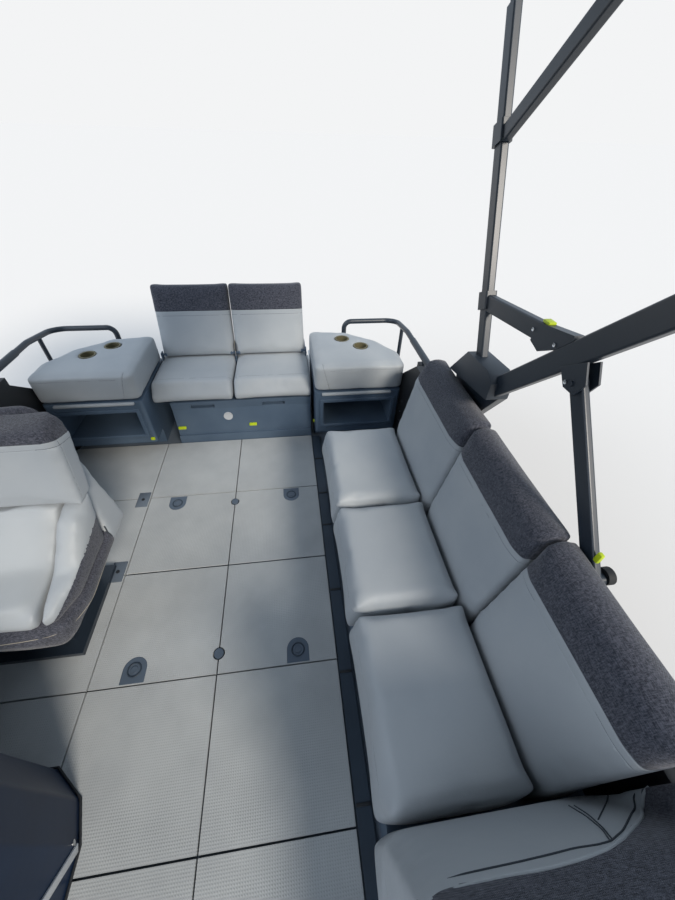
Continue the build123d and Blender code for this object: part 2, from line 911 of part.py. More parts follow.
def helm_seat_shell():
    """The helm seat's outer shell, which runs on the slide."""
    low = up(helm_seat_low) + clearance
    back = fore(helm_seat_back)
    front = fore(helm_seat_front)
    mount = up(helm_seat_mount)
    points = [(back + 60, low), (front - 60, low), (front, up(helm_taper_high)), (front - 30, mount),
              (back + 190, mount), (back + 40, up(helm_back_high)), (back, up(helm_back_high)), (back + 40, up(300))]
    return side_shape(points, -side, 0) & helm_outline(0)


def helm_seat_pads():
    """The helm seat's back pad, its cushion and the raised bolsters on both sides of the cushion."""
    back = fore(helm_seat_back)
    front = fore(helm_seat_front)
    half = helm_seat_half - helm_pad_in
    low = up(helm_seat_mount) + clearance
    high = up(helm_seat_high)
    lean = [(back + 190 + clearance, low), (back + 255, high), (back + 150, up(helm_back_high - 20)),
            (back + 42, up(helm_back_high - 4))]
    seat = [(back + 202, low), (front - 34, low), (front - 20, low + 40), (front - 60, high), (back + 262, high)]
    rise = high + helm_bolster_rise
    bolster = [(back + 202, low), (front - 34, low), (front - 20, low + 40), (front - 90, high),
               (back + 340, rise - 15), (back + 250, rise)]
    inner = half - helm_bolster
    pads = [side_shape(lean, helm_seat_mid - half, helm_seat_mid + half),
            side_shape(seat, helm_seat_mid - inner, helm_seat_mid + inner)]
    for way in (-1, 1):
        ends = sorted((helm_seat_mid + way * (inner + clearance), helm_seat_mid + way * half))
        pads.append(side_shape(bolster, *ends))
    return Compound([pad & helm_outline(helm_pad_in) for pad in pads])


def console_points(grow):
    """The plan of the helm console at deck level, grown on its open sides."""
    x = console_start
    end = fore(x + console_long)
    inner = console_inner - grow
    return [(fore(x - grow), -console_out), (fore(x - grow), -inner - 145), (fore(x + 90), -inner - 40),
            (fore(x + 200), -inner), (end, -inner), (end, -console_out)]


def helm_console():
    """The helm console with its sloped dash."""
    body = plan_shape(console_points(0), frame_top + clearance, up(console_high), console_round)
    x, z = fore(console_start + dash_foot[0]), up(dash_foot[1])
    slope = side_shape([(x - 100, up(console_high) + 5), (x - 100, z - 60), (x, z),
                        (x + dash_run, up(console_high)), (x + dash_run, up(console_high) + 5)], -side, 0)
    return body - slope


def dash_plane(share):
    """A frame on the dash at a share of its run: x to port, z square to it."""
    rise = console_high - dash_foot[1]
    spot = (fore(console_start + dash_foot[0] + share * dash_run), helm_seat_mid, up(dash_foot[1] + share * rise))
    return Plane(origin=spot, x_dir=(0, 1, 0), z_dir=(-rise, 0, dash_run))


def windscreen():
    """The low acrylic screen on the console's top, raked aft."""
    x = fore(console_start + console_long - screen_in)
    low = up(console_high) + clearance
    high = low + screen_high
    points = [(x, low), (x + screen_thick, low), (x - screen_rake + screen_thick, high), (x - screen_rake, high)]
    return side_shape(points, -console_out + 20, -console_inner - 20)


def handlebar():
    """The steering bar with its column, centre pad, two grips and two finger levers."""
    bar = Pos(0, 0, bar_out / 2) * Cylinder(column_radius, bar_out - 2 * clearance)
    bar += Pos(0, 0, bar_out - 6) * Box(180, 90, 36)
    for way in (-1, 1):
        bar += Pos(way * bar_half / 2, 0, bar_out) * Rot(0, 90, 0) * Cylinder(13, bar_half)
        bar += Pos(way * (bar_half - 60), 0, bar_out) * Rot(0, 90, 0) * Cylinder(18, 120)
        bar += Pos(way * (bar_half - 70), lever_out, bar_out) * Rot(0, 90, 0) * Cylinder(lever_radius, lever_long)
        bar += Pos(way * (bar_half - lever_long), lever_out / 2, bar_out) * Box(22, lever_out + 12, 14)
    return dash_plane(bar_up_dash) * bar


def helm_controls():
    """The blank display panel on the dash and the switch panel beside it."""
    display = Pos(0, 0, display_thick / 2 + clearance) * Box(display_long, display_tall, display_thick)
    switches = Pos(helm_seat_half - 90, 0, switch_thick / 2 + clearance) * Box(switch_wide, switch_tall, switch_thick)
    return Compound([dash_plane(display_up_dash) * display, dash_plane(display_up_dash) * switches])


def bow_block(inner, z0, z1, start):
    """A bow seat's mass on the port side, which follows the rounded corner."""
    end = nose - bow_seat_clear
    area = Pos(0, 0, z0) * extrude(deck_outline(panel_in + panel_thick + clearance), amount=z1 - z0)
    reach = [(start, inner), (end, inner), (end + 130, inner + 160), (end + 130, beam), (start, beam)]
    return area & plan_shape(reach, z0, z1)


def bow_starts():
    """The aft ends of the port and the starboard bow seat, and whether each is mirrored."""
    port = fore(end_back_start + end_back_thick) + bow_port_gap
    starboard = fore(console_start + console_long) + bow_seat_gap
    return (port, False), (starboard, True)


def bow_seat_bases():
    """The bases of the two bow lounges."""
    low = frame_top + clearance
    bases = [bow_block(lounge_foot, low, up(lounge_base_high), start) for start, _ in bow_starts()]
    return Compound([bases[0], to_port(bases[1])])


def bow_cushions():
    """The seat cushions of the two bow lounges."""
    low = up(lounge_base_high + clearance)
    pads = []
    for start, flip in bow_starts():
        pad = bow_block(lounge_front, low, up(lounge_top), start + bow_back_thick + lounge_gap)
        pad -= block(start, nose, lounge_crease, side, low - 1, up(lounge_top) + 1)
        pads.append(to_port(pad) if flip else pad)
    return Compound(pads)


def bow_backs():
    """The side backs and the aft end backs of the two bow lounges."""
    low = lounge_base_high + clearance
    backs = []
    for start, flip in bow_starts():
        deep = bow_back_thick
        long_back = end_shape(lounge_back_points(low), start + deep + lounge_gap + 2, nose - bow_corner)
        rear = side_shape([(start, up(low)), (start, up(roll_high - 60)), (start + 40, up(roll_high)),
                           (start + 90, up(roll_high)), (start + deep, up(lounge_top)), (start + deep, up(low))],
                          lounge_front, roll_out)
        for piece in (long_back, rear):
            backs.append(to_port(piece) if flip else piece)
    return Compound(backs)


def side_panels():
    """The two side walls, from the stern corners round to the bow gate."""
    high = up(panel_high) - frame_top - clearance
    ring = extrude(deck_outline(panel_in), amount=high)
    ring -= extrude(deck_outline(panel_in + panel_thick), amount=high)
    ring = Pos(0, 0, frame_top + clearance) * ring
    ring -= block(-length, fore(panel_stern), -beam, beam, 0, up(beam))
    gate = gate_half + gate_gap
    ring -= block(nose - 200, length, -gate, gate, 0, up(beam))
    return ring + gate_knuckles(True)


def gate_axis():
    """The gate's hinge line: its X and Y."""
    return nose - panel_in - panel_thick - knuckle_radius - 2, gate_half + gate_gap / 2


def gate_knuckles(fixed):
    """The gate's two hinges: the fixed leaves with their pins, or the gate's own eyes."""
    x, y = gate_axis()
    face = nose - panel_in - panel_thick
    pieces = []
    for z in (up(120), up(panel_high - 160)):
        if fixed:
            piece = rod((x, y, z - knuckle_high), (x, y, z + 2 * knuckle_high), knuckle_pin)
            for low in (z - knuckle_high, z + knuckle_high):
                piece += rod((x, y, low), (x, y, low + knuckle_high), knuckle_radius)
                piece += block(x, face, y + gate_gap / 2 + 1, y + leaf_long, low, low + knuckle_high)
                piece += block(x - 4, x + 4, y, y + leaf_long, low, low + knuckle_high)
        else:
            piece = rod((x, y, z + 1), (x, y, z + knuckle_high - 1), knuckle_radius)
            piece += block(x - 4, face, y - leaf_long, y - gate_gap / 2, z + 1, z + knuckle_high - 1)
            piece += block(x - 4, x + 4, y - leaf_long, y, z + 1, z + knuckle_high - 1)
            piece -= rod((x, y, z), (x, y, z + knuckle_high), knuckle_pin + clearance)
        pieces.append(piece)
    return pieces[0] + pieces[1]


def side_rails():
    """The top rails on the side walls, with short posts down to them."""
    front = nose - panel_in - panel_thick / 2
    z = up(side_rail_high)
    low = up(panel_high) + clearance
    gate = gate_half + gate_gap + side_rail_radius
    start = fore(panel_stern) + 60
    posts = int((nose - bow_corner - start) // rail_pitch) + 1
    rail = tube_path([(fore(rail_joint), rail_line, z), (front, rail_line, z), (front, gate, z)],
                     bow_corner - panel_in - panel_thick / 2, side_rail_radius)
    for step in range(posts):
        x = start + step * rail_pitch
        rail += rod((x, rail_line, low), (x, rail_line, z), rail_post)
    rail += rod((front, gate + 30, low), (front, gate + 30, z), rail_post)
    return both(rail)


def bow_gate():
    """The bow gate between the two side walls, hinged on its port post."""
    outer = nose - panel_in
    middle = outer - panel_thick / 2
    panel = block(outer - panel_thick, outer, -gate_half, gate_half, up(gate_low), up(panel_high))
    panel += block(middle - 14, middle + 14, -gate_half, gate_half, up(panel_high), up(side_rail_high - 6))
    return panel + gate_knuckles(False)


def stern_rails():
    """The grab rails round the stern corner modules, one on each side."""
    back = fore(stern_rail_back)
    foot = frame_top + clearance
    inner = rail_line - stern_rail_in
    path = [(back, inner, foot), (back, inner, up(stern_rail_high)), (back, rail_line, up(stern_rail_high)),
            (fore(rail_joint - 130), rail_line, up(side_rail_high)),
            (fore(rail_joint) - clearance, rail_line, up(side_rail_high))]
    rail = tube_path(path, [50, 90, 200], stern_rail_radius)
    leg = fore(rail_leg)
    return both(rail + rod((leg, rail_line, foot), (leg, rail_line, up(stern_rail_high + 10)), 13))


def canopy_bracket():
    """The port housing on the side rail that holds the canopy's beam and post."""
    low = up(side_rail_high) + side_rail_radius + clearance
    inner = rail_line - side_rail_radius + 4
    outer = frame_side + bracket_half
    aft, nose_end = fore(bracket_aft), fore(bracket_fore)
    nose_top = nose_end - bracket_nose
    base = up(bracket_low)
    foot = side_shape([(aft + bracket_step, low), (nose_top, low), (nose_end, base + 5), (aft, base + 5)], inner, outer)
    head = side_shape([(aft, base), (nose_end, base), (nose_end, up(bracket_high - 30)), (nose_top, up(bracket_high)),
                       (aft + bracket_heel, up(bracket_high - bracket_slope)),
                       (aft, up(bracket_high - bracket_slope - bracket_heel))], frame_side - bracket_half, outer)
    return foot + head


def roof_arc():
    """The canopy's underside seen from ahead: its radius and the height of its centre."""
    radius = (canopy_half * canopy_half + canopy_crown * canopy_crown) / (2 * canopy_crown)
    return radius, up(canopy_high) + canopy_crown - radius


def bow_levels():
    """The bows' tubes seen from ahead: their crown, their height where they bend, and that of their corners."""
    cloth, middle = roof_arc()
    reach = cloth - bow_tube - clearance
    turn = math.asin(bow_straight / reach)
    level_z = middle + reach * math.cos(turn)
    return middle + reach, level_z, level_z - (frame_side - bow_straight) * math.tan(turn)


def bow_legs(foot, top_x, deep, wide):
    """The two flat legs of a bow, from their feet to just under the bend."""
    corner = (top_x, bow_levels()[2])
    top = between(corner, foot, bow_bend + bow_leg)
    return [flat_bar(y, foot, top, deep, wide) for y in (frame_side, -frame_side)]


def bow(foot, top_x, deep, wide):
    """A canopy bow: two flat legs and the round tube that joins them under the cloth."""
    crown, straight_z, corner_z = bow_levels()
    x, z = between((top_x, corner_z), foot, bow_bend + bow_leg + bow_socket)
    leg = FilletPolyline((x, -frame_side, z), (top_x, -frame_side, corner_z), (top_x, -bow_straight, straight_z),
                         radius=bow_bend)
    across = ThreePointArc((top_x, -bow_straight, straight_z), (top_x, 0, crown),
                           (top_x, bow_straight, straight_z))
    path = Wire([*leg.edges(), across, *mirror(leg, about=Plane.XZ).edges()])
    start = Plane(origin=(x, -frame_side, z), z_dir=(top_x - x, 0, corner_z - z))
    legs = bow_legs(foot, top_x, deep, wide)
    return sweep(start * Circle(bow_tube), path=path) + legs[0] + legs[1]


def beam_ends():
    """The main beams' foot and the X of their bow."""
    foot = (fore(beam_foot[0]), up(beam_foot[1]))
    return foot, foot[0] + (bow_levels()[2] - foot[1]) / math.tan(math.radians(beam_lean))


def post_ends():
    """The rear posts' foot and the X of their bow."""
    return (fore(post_foot[0]), up(post_foot[1])), fore(post_top)


def canopy_brackets():
    """The two housings on the side rails."""
    return both(canopy_bracket())


def canopy_beams():
    """The two flat main beams, joined by the forward bow across the canopy."""
    return bow(*beam_ends(), beam_deep, beam_wide) - canopy_brackets()


def canopy_posts():
    """The rear bow: two flat posts and the tube across the canopy's aft edge."""
    return bow(*post_ends(), post_deep, post_wide) - canopy_brackets()


def post_clamp(middle_z):
    """A sleeve round the port post at a height, cut for the post."""
    foot, top_x = post_ends()
    corner = (top_x, bow_levels()[2])
    share = (up(middle_z) - foot[1]) / (corner[1] - foot[1])
    middle = between(foot, corner, share * math.dist(foot, corner))
    first = between(middle, foot, clamp_long / 2)
    last = between(middle, corner, clamp_long / 2)
    wall_2 = 2 * clamp_wall
    return flat_bar(frame_side, first, last, post_deep + wall_2, post_wide + wall_2)


def room_for(legs_of, deep, wide):
    """The space that a pair of legs takes, with the clearance round it."""
    foot, top_x = legs_of
    return bow_legs(foot, top_x, deep + 2 * clearance, wide + 2 * clearance)[0]


def canopy_braces():
    """The upper braces with their middle bow, clamped to the rear posts."""
    foot = (fore(brace_foot[0]), up(brace_foot[1]))
    clamp = post_clamp(brace_foot[1])
    post = room_for(post_ends(), post_deep, post_wide)
    return bow(foot, fore(mid_bow), post_deep, post_wide) + clamp + to_port(clamp) - post - to_port(post)


def canopy_strut():
    """The port strut, clamped to the rear post and cut to the main beam's edge."""
    start = (fore(strut_aft[0]), up(strut_aft[1]))
    end = (fore(strut_fore[0]), up(strut_fore[1]))
    strut = flat_bar(frame_side, start, end, strut_deep, strut_wide)
    gusset = [(fore(x), up(z)) for x, z in gusset_points]
    strut += side_shape(gusset, frame_side - strut_wide / 2, frame_side + strut_wide / 2)
    return strut + post_clamp(strut_aft[1]) - room_for(post_ends(), post_deep, post_wide)


def canopy_prop():
    """The port prop leg: plates beside the main beam, their pin, the leg, its knob and its base on the rail."""
    head = (fore(prop_head[0]), up(prop_head[1]))
    foot = (fore(prop_foot[0]), up(prop_foot[1]))
    rail_top = up(side_rail_high) + side_rail_radius + clearance
    prop = flat_bar(frame_side, head, foot, prop_deep, prop_wide)
    prop += cross_rod(*head, frame_side - prop_wide / 2, frame_side + prop_wide / 2, prop_deep / 2)
    inner = beam_wide / 2 + clearance
    for way in (-1, 1):
        y0, y1 = sorted((frame_side + way * inner, frame_side + way * (inner + prop_plate)))
        plate = [(head[0] - 62, head[1] + 16), (head[0] - 22, head[1] - 24), (head[0] + 22, head[1] - 24),
                 (head[0] + 44, head[1] + 20), (head[0] + 14, head[1] + 70)]
        prop += side_shape(plate, y0, y1)
    reach = inner + prop_plate + 5
    prop += cross_rod(*head, frame_side - reach, frame_side + reach, prop_pin)
    knob = between(foot, head, knob_back)
    prop += cross_rod(*knob, frame_side, frame_side + 34, 17)
    base = block(foot[0] - 48, foot[0] + 40, frame_side - prop_wide / 2, rail_line + 12,
                 rail_top, rail_top + prop_base)
    below = block(foot[0] - 200, foot[0] + 200, 0, side, 0, rail_top)
    return prop + base - below


def canopy_struts():
    """The struts and the prop legs on both sides."""
    strut = canopy_strut() - room_for(beam_ends(), beam_deep, beam_wide)
    prop = canopy_prop() - room_for(beam_ends(), beam_deep, beam_wide)
    return Compound([strut, to_port(strut), prop, to_port(prop)])


def canopy():
    """The canopy's cloth, a thin arched sheet."""
    radius, middle = roof_arc()
    profile = Sketch() + Pos(0, middle) * (Circle(radius + canopy_thick) - Circle(radius))
    keep = Pos(0, middle + radius) * Rectangle(2 * canopy_half, 4 * canopy_crown)
    sheet = Plane(origin=(fore(canopy_aft), 0, 0), x_dir=(0, 1, 0), z_dir=(1, 0, 0)) * (profile & keep)
    return extrude(sheet, amount=canopy_fore - canopy_aft)


def ladder_axis():
    """The ladder's hinge line: its X and Z."""
    return stern + stern_gap / 2, deck_height + clearance + ladder_tube + ladder_rest


def boarding_ladder():
    """The boarding ladder, folded forward on the stern platform."""
    x, z = ladder_axis()
    frame = cross_rod(x, z, ladder_mid - ladder_half, ladder_mid + ladder_half, ladder_tube - 3)
    for way in (-1, 1):
        y = ladder_mid + way * ladder_half
        frame += rod((x, y, z), (x + ladder_long, y, z), ladder_tube)
    for step in range(1, int(ladder_long // ladder_pitch) + 1):
        tread = x + step * ladder_pitch
        frame += block(tread - tread_half, tread + tread_half, ladder_mid - ladder_half, ladder_mid + ladder_half,
                       z - tread_thick / 2, z + tread_thick / 2)
    return frame


def ladder_hinge():
    """The two brackets that carry the ladder at the platform's edge."""
    x, z = ladder_axis()
    low = deck_height + clearance
    half = stern_gap / 2
    brackets = []
    for way in (-1, 1):
        y = ladder_mid + way * (ladder_half - 40)
        bracket = block(x - half, x + 90, y - 12, y + 12, low, low + 8)
        bracket += block(x - half, x + half, y - 12, y + 12, low, z + half)
        brackets.append(bracket - cross_rod(x, z, y - 20, y + 20, ladder_tube - 3 + clearance))
    return Compound(brackets)


nodes = {
    "centre_hull": centre_hull(),
    "port_sponson": hull(sponson_sections),
    "starboard_sponson": to_port(hull(sponson_sections)),
    "deck_frame": deck_frame(),
    "rub_rail": rub_rail(),
    "deck_tiles": deck_tiles(),
    "hatch_knobs": hatch_knobs(),
    "hull_eyes": hull_eyes(),
    "cleats": cleats(),
    "side_track": side_track(),
    "engine_block": engine_block(),
    "jet_pump": jet_pump(),
    "impeller": impeller(),
    "steering_nozzle": steering_nozzle(),
    "reverse_bucket": reverse_bucket(),
    "intake_grate": intake_grate(),
    "stern_seat_base": stern_seat_base(),
    "stern_cushions": stern_cushions(),
    "corner_bases": both(corner_base()),
    "corner_pads": both(corner_pad()),
    "cup_liners": cup_liners(),
    "lounge_base": lounge_base(),
    "lounge_cushions": lounge_cushions(),
    "lounge_backs": lounge_backs(),
    "end_back": end_back(),
    "helm_pedestal": helm_pedestal(),
    "helm_seat_shell": helm_seat_shell(),
    "helm_seat_pads": helm_seat_pads(),
    "helm_console": helm_console(),
    "helm_controls": helm_controls(),
    "windscreen": windscreen(),
    "handlebar": handlebar(),
    "bow_seat_bases": bow_seat_bases(),
    "bow_cushions": bow_cushions(),
    "bow_backs": bow_backs(),
    "side_panels": side_panels(),
    "side_rails": side_rails(),
    "bow_gate": bow_gate(),
    "stern_rails": stern_rails(),
    "canopy_brackets": canopy_brackets(),
    "canopy_beams": canopy_beams(),
    "canopy_posts": canopy_posts(),
    "canopy_braces": canopy_braces(),
    "canopy_struts": canopy_struts(),
    "canopy": canopy(),
    "boarding_ladder": boarding_ladder(),
    "ladder_hinge": ladder_hinge(),
}
for aft, row_name in ((True, "aft"), (False, "fore")):
    for port, side_name in ((1, "port"), (-1, "starboard")):
        nodes[f"hatch_lid_{row_name}_{side_name}"] = hatch_lid(aft, port)
        nodes[f"hatch_latch_{row_name}_{side_name}"] = latch_shape(aft, port, clearance)
for port, side_name in ((1, "port"), (-1, "starboard")):
    nodes[f"stern_back_pad_{side_name}"] = stern_back_pad(port)
    nodes[f"stern_back_shell_{side_name}"] = stern_back_shell(port)

os.makedirs("parts", exist_ok=True)
for name, shape in nodes.items():
    export_step(shape, f"parts/{name}.step")
print(len(nodes), "nodes")
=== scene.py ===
# %% [markdown]
# # Dressing a small jet-drive deck boat
# The boat's hard parts come ready made from the CAD frame. This script gives every one of them its
# finish, sews the upholstery and the canopy over the plain CAD solids, and adds the small trim.
# The CAD pieces are the truth for size and place, so nothing here moves them.

# %% Load the frame
import bpy
import json
import math
import numpy as np
from mathutils import Matrix, Vector

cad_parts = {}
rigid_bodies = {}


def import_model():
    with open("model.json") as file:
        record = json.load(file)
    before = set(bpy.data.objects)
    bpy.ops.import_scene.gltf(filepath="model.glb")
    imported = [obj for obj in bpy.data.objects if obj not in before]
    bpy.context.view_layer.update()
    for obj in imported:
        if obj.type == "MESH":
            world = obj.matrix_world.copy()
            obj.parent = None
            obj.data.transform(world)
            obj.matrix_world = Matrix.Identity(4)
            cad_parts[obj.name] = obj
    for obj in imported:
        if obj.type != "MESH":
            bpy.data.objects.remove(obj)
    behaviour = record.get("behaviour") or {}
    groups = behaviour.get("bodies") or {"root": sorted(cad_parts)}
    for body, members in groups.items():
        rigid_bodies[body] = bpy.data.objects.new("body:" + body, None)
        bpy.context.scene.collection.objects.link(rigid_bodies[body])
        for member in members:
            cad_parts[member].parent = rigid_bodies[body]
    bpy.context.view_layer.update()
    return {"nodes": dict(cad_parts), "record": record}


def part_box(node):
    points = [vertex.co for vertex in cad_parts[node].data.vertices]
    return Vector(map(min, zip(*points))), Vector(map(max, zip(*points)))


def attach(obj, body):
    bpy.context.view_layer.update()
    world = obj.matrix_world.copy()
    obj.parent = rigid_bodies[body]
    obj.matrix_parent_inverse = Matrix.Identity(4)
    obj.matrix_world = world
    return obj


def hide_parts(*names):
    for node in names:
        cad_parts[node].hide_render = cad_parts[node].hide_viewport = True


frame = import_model()
cad = frame["nodes"]

# %% [markdown]
# A few places come back in many cells: the deck's top, the line where the square deck tiles start,
# and the two sides. All sizes are metres. X runs forward, Y to port, Z up.

# %% Places on the boat
DECK = 0.620
ROW = -1.650
SIDES = (("port", 1), ("starboard", -1))


def fore(x):
    """A place measured forward from the first row of deck tiles."""
    return ROW + x


def up(z):
    """A height above the deck tiles."""
    return DECK + z


print("deck top at", DECK, "and first row of tiles at", ROW)

# %% [markdown]
# Colours are given as sRGB hex numbers, but Blender's shaders want linear light, so one
# function turns them. Another adds a shader node with its settings and links in one line, which
# keeps each material short enough to read.

# %% Helpers for materials
def linear(colour):
    """An sRGB hex colour as linear RGBA."""
    parts = [int(colour[i:i + 2], 16) / 255 for i in (0, 2, 4)]
    return [p / 12.92 if p <= 0.04045 else ((p + 0.055) / 1.055) ** 2.4 for p in parts] + [1.0]


def add(mat, kind, inputs=None, **settings):
    """Adds a shader node, sets its properties, and fills or links its inputs."""
    new = mat.node_tree.nodes.new("ShaderNode" + kind)
    for key, value in settings.items():
        setattr(new, key, value)
    for key, value in (inputs or {}).items():
        if isinstance(value, bpy.types.NodeSocket):
            mat.node_tree.links.new(value, new.inputs[key])
        else:
            new.inputs[key].default_value = value
    return new


def surface(name, colour, rough, **more):
    """A material with its base colour and roughness; more sets other inputs of the shader."""
    mat = bpy.data.materials.new(name)
    mat.use_nodes = True
    shader = mat.node_tree.nodes["Principled BSDF"]
    shader.inputs["Base Color"].default_value = linear(colour)
    shader.inputs["Roughness"].default_value = rough
    for key, value in more.items():
        shader.inputs[key.replace("_", " ")].default_value = value
    return mat


print("colour and node helpers ready")

# %% [markdown]
# Most finishes need a pattern: clouds in the colour, or a relief in the skin. A picture could give
# it, but a pattern worked out from each point's place needs no file and keeps its true size on
# every part. So these helpers take their sizes in metres.

# %% Helpers for patterns
def place(mat):
    """The point's own place on the object, in metres."""
    return add(mat, "TexCoord").outputs["Object"]


def noise(mat, size, detail=2.0, vector=None):
    """Cloudy noise whose features are about size metres across."""
    inputs = {"Vector": vector or place(mat), "Scale": 1 / size, "Detail": detail}
    return add(mat, "TexNoise", inputs).outputs["Fac"]


def bump(mat, height, depth, below=None):
    """Raises the surface by a height map, depth metres deep, over the bump below it."""
    inputs = {"Height": height, "Distance": depth, "Strength": 1.0}
    if below:
        inputs["Normal"] = below
    relief = add(mat, "Bump", inputs).outputs["Normal"]
    mat.node_tree.links.new(relief, mat.node_tree.nodes["Principled BSDF"].inputs["Normal"])
    return relief


def eased(mat, radius):
    """The surface's direction with its sharp edges eased to a radius, as the light would see them."""
    return add(mat, "Bevel", {"Radius": radius}, samples=4).outputs["Normal"]


def vary(mat, factor, one, two, low=0.35, high=0.65):
    """Lets the base colour run from one to two as the factor goes from low to high."""
    ramp = add(mat, "ValToRGB", {"Fac": factor})
    ramp.color_ramp.elements[0].position = low
    ramp.color_ramp.elements[1].position = high
    ramp.color_ramp.elements[0].color = linear(one)
    ramp.color_ramp.elements[1].color = linear(two)
    shader = mat.node_tree.nodes["Principled BSDF"]
    mat.node_tree.links.new(ramp.outputs["Color"], shader.inputs["Base Color"])


print("pattern helpers ready")

# %% [markdown]
# **Moulded plastic.** The hull, the seat bases and the lids are rotomoulded polyethylene. It has
# no mirror shine: its skin has a fine orange peel from the mould, and a broad unevenness that the
# eye sees as soft, cloudy light. A small grain for the peel and a slow noise for the clouds give
# both without any picture.

# %% Plastics
def moulded(name, colour, paler, rough=0.45, grain=0.0022, depth=0.00012, **more):
    """Moulded plastic: cloudy colour, and a fine peel in the skin."""
    mat = surface(name, colour, rough, **more)
    vary(mat, noise(mat, 0.25, 3), colour, paler)
    peel = bump(mat, noise(mat, grain), depth, eased(mat, 0.004))
    bump(mat, noise(mat, 0.06), 0.0004, peel)
    return mat


hull_plastic = moulded("hull_polyethylene", "46515E", "4D5966", 0.36)
deck_plastic = moulded("deck_frame_polyethylene", "59636E", "626C77", 0.5)
base_plastic = moulded("seat_base_polyethylene", "47586B", "516274", 0.42)
bumper_rubber = moulded("bumper_rubber", "1F2226", "25282C", 0.62)
track_plastic = moulded("track_nylon", "2C3743", "33404D", 0.5)
latch_plastic = moulded("latch_nylon", "4E5A68", "566372", 0.4)
console_plastic = moulded("console_abs", "13233A", "182A43", 0.36, Specular_IOR_Level=0.3)
cup_plastic = moulded("cup_liner_plastic", "625C44", "6C664C", 0.5)
trim_plastic = moulded("pale_trim_plastic", "B9BDC1", "C3C6C9", 0.4)
grip_rubber = moulded("grip_rubber", "15171A", "1B1E21", 0.7, 0.0016, 0.0004)
print("plastics made")

# %% [markdown]
# **Metals and paint.** The canopy frame and the rails are painted dark slate: a powder coat with a
# fine leather-like texture. Fittings that must not rust are stainless, brushed along their
# length. The pump is a raw alloy casting, so it is duller and grainier.

# %% Metals and paint
def painted(name, colour, rough=0.4):
    """Powder coat: a tight grain under a satin skin."""
    mat = surface(name, colour, rough, Metallic=0.0, Coat_Weight=0.25, Coat_Roughness=0.3)
    bump(mat, noise(mat, 0.0015, 3), 0.00008, eased(mat, 0.002))
    return mat


def metal(name, colour, rough, grain, depth):
    """Bare metal with a worked surface, whose roughness drifts a little."""
    mat = surface(name, colour, rough, Metallic=1.0)
    shader = mat.node_tree.nodes["Principled BSDF"]
    worn = {"Value": noise(mat, 0.04, 4), "To Min": rough - 0.08, "To Max": rough + 0.1}
    mat.node_tree.links.new(add(mat, "MapRange", worn).outputs["Result"], shader.inputs["Roughness"])
    bump(mat, noise(mat, grain, 3), depth)
    return mat


frame_paint = painted("frame_powder_coat", "222B35")
panel_black = painted("wall_panel_black", "17191C", 0.5)
engine_paint = painted("engine_cover_paint", "2A2D31", 0.45)
stainless = metal("stainless_steel", "C9CCCF", 0.24, 0.003, 0.00003)
cast_alloy = metal("cast_alloy", "9A9DA0", 0.46, 0.0018, 0.00025)
lime_plastic = surface("lime_tab_plastic", "B9CC1E", 0.35)
acrylic = surface("tinted_acrylic", "39434C", 0.05, Alpha=0.45)
print("metals and paints made")

# %% [markdown]
# **Deck pads.** The floor is covered with square pads of non-slip foam. Their pressed pattern is a
# fine lattice of small raised dots, too small to model, so it is bump from two crossed waves, with
# a slow stain noise over it because such pads are never one even colour.

# %% Deck pads
def waves(mat, pitch, direction):
    """Parallel bands, pitch metres apart, across one axis."""
    inputs = {"Vector": place(mat), "Scale": math.pi / (pitch * 10), "Distortion": 0.0}
    return add(mat, "TexWave", inputs, bands_direction=direction).outputs["Fac"]


deck_pad = surface("nonslip_deck_foam", "8C8E8C", 0.78)
DOT_PITCH = 0.008
crossed = {0: waves(deck_pad, DOT_PITCH, "X"), 1: waves(deck_pad, DOT_PITCH, "Y")}
dots = add(deck_pad, "Math", crossed, operation="MULTIPLY")
vary(deck_pad, noise(deck_pad, 0.18, 5), "A2A6A8", "AFB3B4", 0.3, 0.7)
bump(deck_pad, dots.outputs[0], 0.0006, bump(deck_pad, noise(deck_pad, 0.0015), 0.0002))
print("deck pad made")

# %% [markdown]
# **Marine vinyl.** The seats are covered with light warm-grey vinyl. Close up it has a pebbled
# leather grain, which spreads its highlights. Voronoi cells give the pebbles and a little noise
# breaks them up; a weak sheen stands for the soft edge light of coated cloth.

# %% Vinyl
def vinyl_cover(name, colour, paler):
    """Embossed marine vinyl."""
    mat = surface(name, colour, 0.5, Sheen_Weight=0.12, Specular_IOR_Level=0.35)
    vary(mat, noise(mat, 0.3, 3), colour, paler)
    cells = add(mat, "TexVoronoi", {"Vector": place(mat), "Scale": 1 / 0.0016}, feature="SMOOTH_F1")
    pebble = bump(mat, cells.outputs["Distance"], 0.00016)
    bump(mat, noise(mat, 0.05, 3), 0.0008, pebble)
    return mat


# The dark colour of the seam lines is painted shade: it stands for the shade in a seam's crease, not for the
# thread.
painted_seam_shade = surface("painted_seam_shade_dark", "3A4047", 0.85)
vinyl = vinyl_cover("marine_vinyl_grey", "9DA3A8", "A7ACAF")
thread = surface("pale_stitching", "A69F90", 0.7)
print("vinyl made")

# %% [markdown]
# **Tweed.** The tops of the backs are woven: dark yarns with paler flecks, so the cloth looks
# heathered. Two stretched noises, one along each thread direction, give the flecks, and crossed
# waves give the weave its relief.

